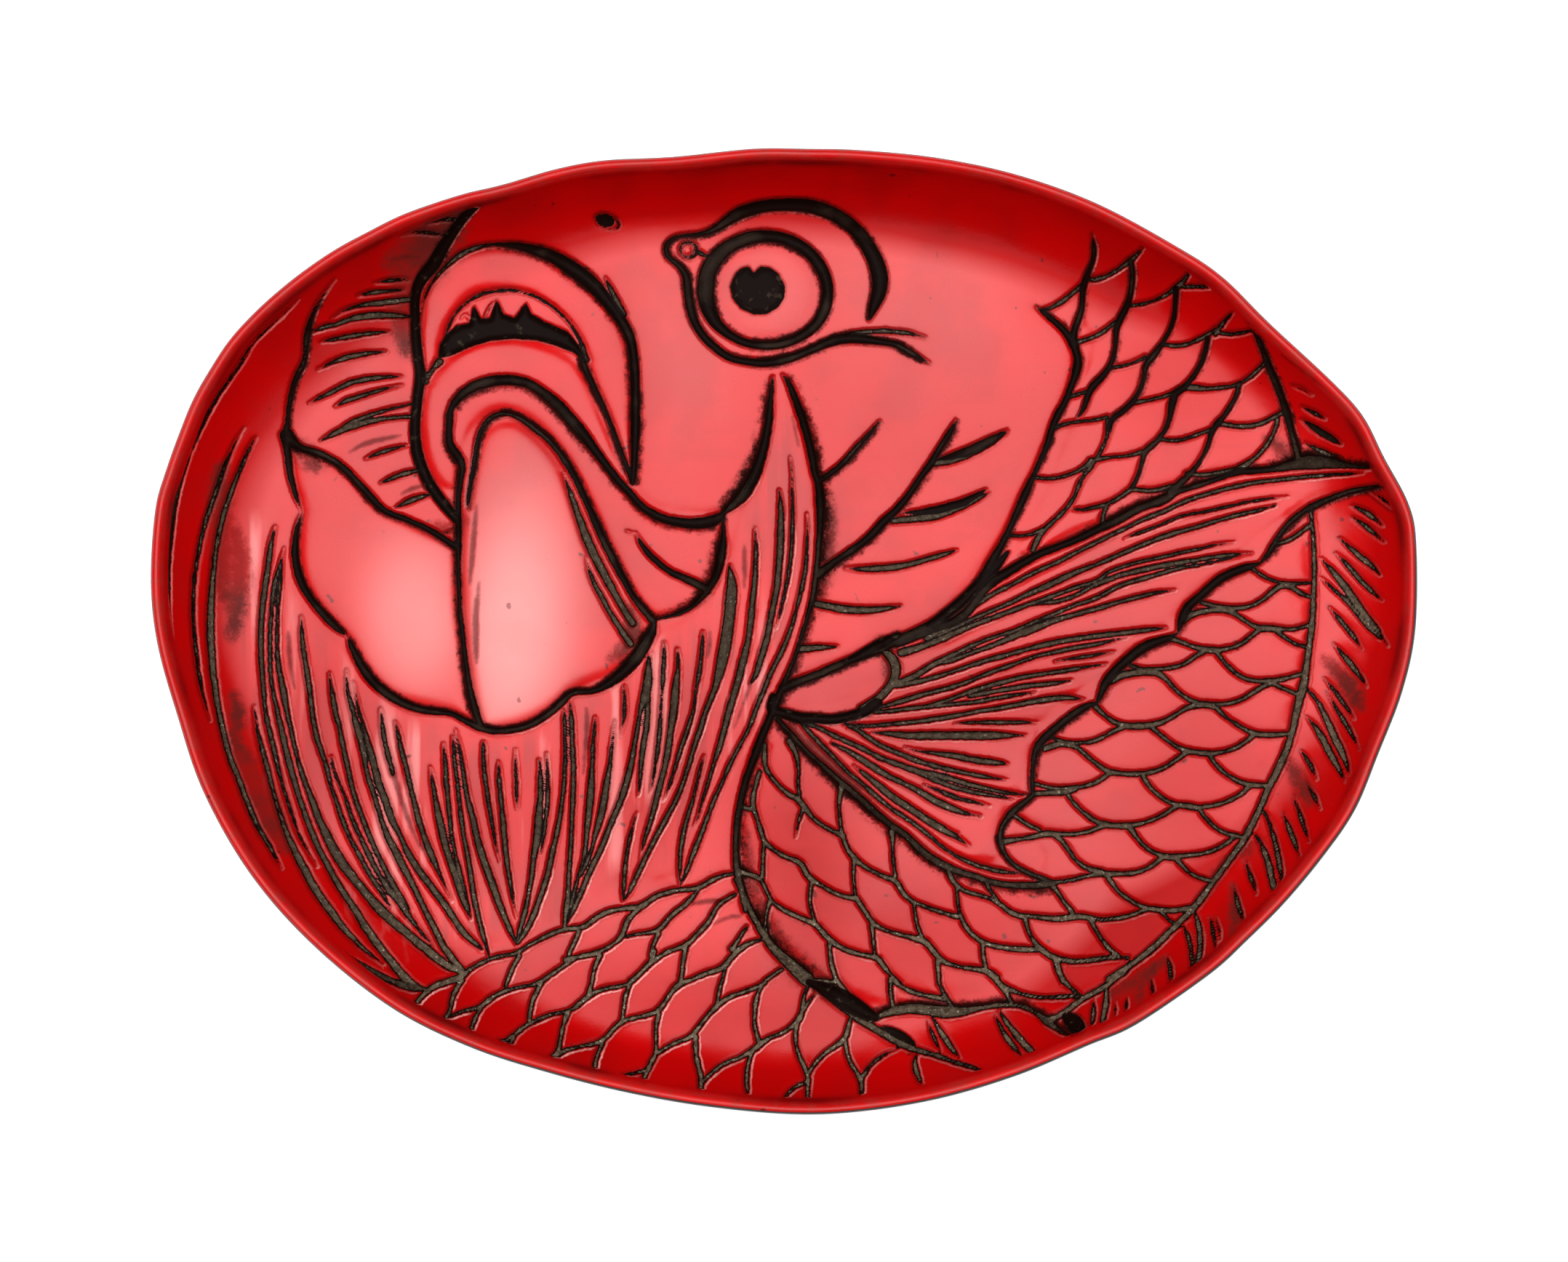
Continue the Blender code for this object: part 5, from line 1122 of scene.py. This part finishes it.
# Painted shade: deeper red on the side of each groove turned from the light, then a dark red band beside every groove.
red = mix(maths("MULTIPLY", ramp(g, 12.0, 1.0), maths("MULTIPLY", maths("MULTIPLY", shade, 0.85), maths("MULTIPLY", attribute("ochre"), 1.3, clamp=True))), red, RED_SHADE)
red = mix(maths("MULTIPLY", groove_edge_shade, GROOVE_EDGE_SHADE), red, DARK_RED)
red = mix(glint, red, GLINT)
scratch = maths("MULTIPLY", ramp(maths("ADD", attribute("scratch"), jitter), 3.0, -2.5), 0.72)
red = mix(scratch, red, DARK_RED)
speck = ramp(noise(260, 1.0), 0.765, 0.80, 0.0, 0.65)
red = mix(speck, red, DARK_RED)
# Painted shade: a darker band along the crease at the rim's inner edge.
rim_crease_shade = maths("MULTIPLY", attribute("crease"), ramp(noise(35, 4), 0.42, 0.66, 0.0, 0.75))
red = mix(rim_crease_shade, red, DARK_RED)
# pigment left in the cuts, with the walls of each cut kept black as painted shade and the dust in its floor lighter as
# painted sheen
grit = maths("ADD", maths("MULTIPLY", maths("SUBTRACT", n_mid, 0.5), 0.85), maths("MULTIPLY", maths("SUBTRACT", n_fine, 0.5), 0.60))
rub_in = maths("MULTIPLY", attribute("rub"), ramp(n_soft, 0.30, 0.66, 0.55, 1.0))
rubbed = maths("MULTIPLY", ramp(maths("ADD", rub_in, maths("MULTIPLY", grit, ramp(rub_in, 0.02, 0.3))), 0.14, 0.74), 0.94)
stained = maths("MULTIPLY", ramp(maths("ADD", attribute("stain"), maths("MULTIPLY", grit, ramp(attribute("stain"), 0.0, 0.4))), 0.05, 0.85), 0.90)
red = mix(maths("MULTIPLY", stained, ramp(n_soft, 0.32, 0.66, 0.55, 1.0)), red, STAIN)
surface_colour = mix(rubbed, red, SOOT)
groove_dust_and_sheen = mix(ramp(noise(700, 3, 0.6), 0.34, 0.64), OLIVE_DARK, OLIVE)
groove_dust_and_sheen = mix(ramp(noise(1100, 2), 0.63, 0.72, 0.0, 0.75), groove_dust_and_sheen, OLIVE_PALE)
groove_dust_and_sheen = mix(maths("MULTIPLY", maths("SUBTRACT", 1.0, attribute("ochre")), 0.80), groove_dust_and_sheen, SOOT_WARM)
plain_cut = maths("SUBTRACT", 1.0, maths("MULTIPLY", attribute("ochre"), 0.9, clamp=True))
groove_dust_and_sheen = mix(maths("MULTIPLY", maths("MULTIPLY", in_outline, ramp(n_soft, 0.35, 0.70, 1.0, 0.86)), maths("ADD", 0.35, maths("MULTIPLY", plain_cut, 0.9)), clamp=True), groove_dust_and_sheen, mix(ramp(n_soft, 0.50, 0.68, 0.0, 0.75), SOOT, SOOT_WARM))
# Painted shade and sheen: black at the walls of each cut, the dust colour lighter in its floor.
groove_colour = mix(core, SOOT, groove_dust_and_sheen)
surface_colour = mix(in_groove, surface_colour, groove_colour)
b_edge = maths("ADD", attribute("black"), maths("MULTIPLY", jitter, 0.8))
solid_black = ramp(b_edge, 1.4, -0.6)
surface_colour = mix(solid_black, surface_colour, mix(ramp(n_mid, 0.60, 0.76, 0.0, 0.55), SOOT, OLIVE_DARK))
on_back = attribute("back")
back_mask = ramp(maths("ADD", on_back, maths("MULTIPLY", maths("SUBTRACT", n_soft, 0.5), 0.5)), 0.35, 0.65)
surface_colour = mix(back_mask, surface_colour, mix(ramp(n_soft, 0.35, 0.75, 0.0, 0.5), (0.010, 0.008, 0.008), (0.030, 0.022, 0.020)))
links.new(surface_colour, bsdf.inputs["Base Color"])

matte = maths("MAXIMUM", maths("MAXIMUM", in_groove, solid_black), rubbed)
lacquer_rough = ramp(n_soft, 0.30, 0.75, ROUGH_LOW, ROUGH_HIGH)
rough = maths("ADD", maths("MULTIPLY", lacquer_rough, maths("SUBTRACT", 1.0, matte)), maths("MULTIPLY", matte, 0.62))
links.new(rough, bsdf.inputs["Roughness"])
gloss = maths("MULTIPLY", SPECULAR, maths("SUBTRACT", 1.0, maths("MULTIPLY", maths("MAXIMUM", maths("MULTIPLY", attribute("cove"), 1.5, clamp=True), maths("MULTIPLY", attribute("rim"), 0.45)), 0.85)))
dull = maths("MAXIMUM", scratch, stained)
gloss = maths("MULTIPLY", gloss, maths("SUBTRACT", 1.0, maths("MULTIPLY", dull, 0.88)))
links.new(maths("MULTIPLY", gloss, maths("SUBTRACT", 1.0, maths("MULTIPLY", matte, 0.88))), bsdf.inputs["Specular IOR Level"])

height = maths("ADD", maths("MULTIPLY", ramp(g, -2.0, 4.0), 0.00028), maths("MULTIPLY", n_mid, 0.00006))
height = maths("ADD", height, maths("MULTIPLY", n_fine, 0.000022))
height = maths("ADD", height, maths("MULTIPLY", grain, 0.00004))
height = maths("ADD", height, maths("MULTIPLY", maths("MULTIPLY", in_groove, noise(900, 2)), 0.00022))
bump = nodes.new("ShaderNodeBump")
bump.inputs["Strength"].default_value = 0.8
bump.inputs["Distance"].default_value = 1.0
links.new(height, bump.inputs["Height"])
links.new(bump.outputs["Normal"], bsdf.inputs["Normal"])
mesh.materials.append(mat)

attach(tray, "root")
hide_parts("carved_tray")

# ---------------------------------------------------------------- floor, light, camera
floor_mesh = bpy.data.meshes.new("floor")
floor_mesh.from_pydata([(-6, -6, -0.0002), (6, -6, -0.0002), (6, 6, -0.0002), (-6, 6, -0.0002)], [], [(0, 1, 2, 3)])
floor = bpy.data.objects.new("floor", floor_mesh)
bpy.context.scene.collection.objects.link(floor)
floor_mat = bpy.data.materials.new("paper")
floor_mat.use_nodes = True
paper = next(n for n in floor_mat.node_tree.nodes if n.type == "BSDF_PRINCIPLED")
paper.inputs["Base Color"].default_value = (0.93, 0.93, 0.93, 1)
paper.inputs["Roughness"].default_value = 0.9
paper.inputs["Specular IOR Level"].default_value = 0.1
paper.inputs["Emission Color"].default_value = (1, 1, 1, 1)
paper.inputs["Emission Strength"].default_value = PAPER_GLOW
floor_mesh.materials.append(floor_mat)

scene = bpy.context.scene
world = bpy.data.worlds.new("studio")
world.use_nodes = True
sky = next(n for n in world.node_tree.nodes if n.type == "BACKGROUND")
sky.inputs["Color"].default_value = (1.0, 1.0, 1.0, 1)
sky.inputs["Strength"].default_value = WORLD
scene.world = world


def area(name, place_at, aim, w, h, watts):
    lamp = bpy.data.lights.new(name, "AREA")
    lamp.shape = "RECTANGLE"
    lamp.size, lamp.size_y = w, h
    lamp.energy = watts
    o = bpy.data.objects.new(name, lamp)
    o.location = place_at
    o.rotation_euler = (Vector(aim) - Vector(place_at)).to_track_quat("-Z", "Y").to_euler()
    o.visible_camera = False
    scene.collection.objects.link(o)
    return o


for spec in LIGHTS:
    area(*spec)

camera_data = bpy.data.cameras.new("camera")
camera_data.sensor_width = 36.0
camera_data.lens = 36.0 * (CAMERA_Z - RIM_Z) / (2156 * UNIT)
camera_data.clip_start, camera_data.clip_end = 0.05, 60.0
camera = bpy.data.objects.new("camera", camera_data)
camera.location = (0.0, half_way[1] * 0.0 + AIM_Y, CAMERA_Z)
camera.rotation_euler = (0.0, 0.0, 0.0)
scene.collection.objects.link(camera)
scene.camera = camera
scene.view_settings.view_transform = "Standard"
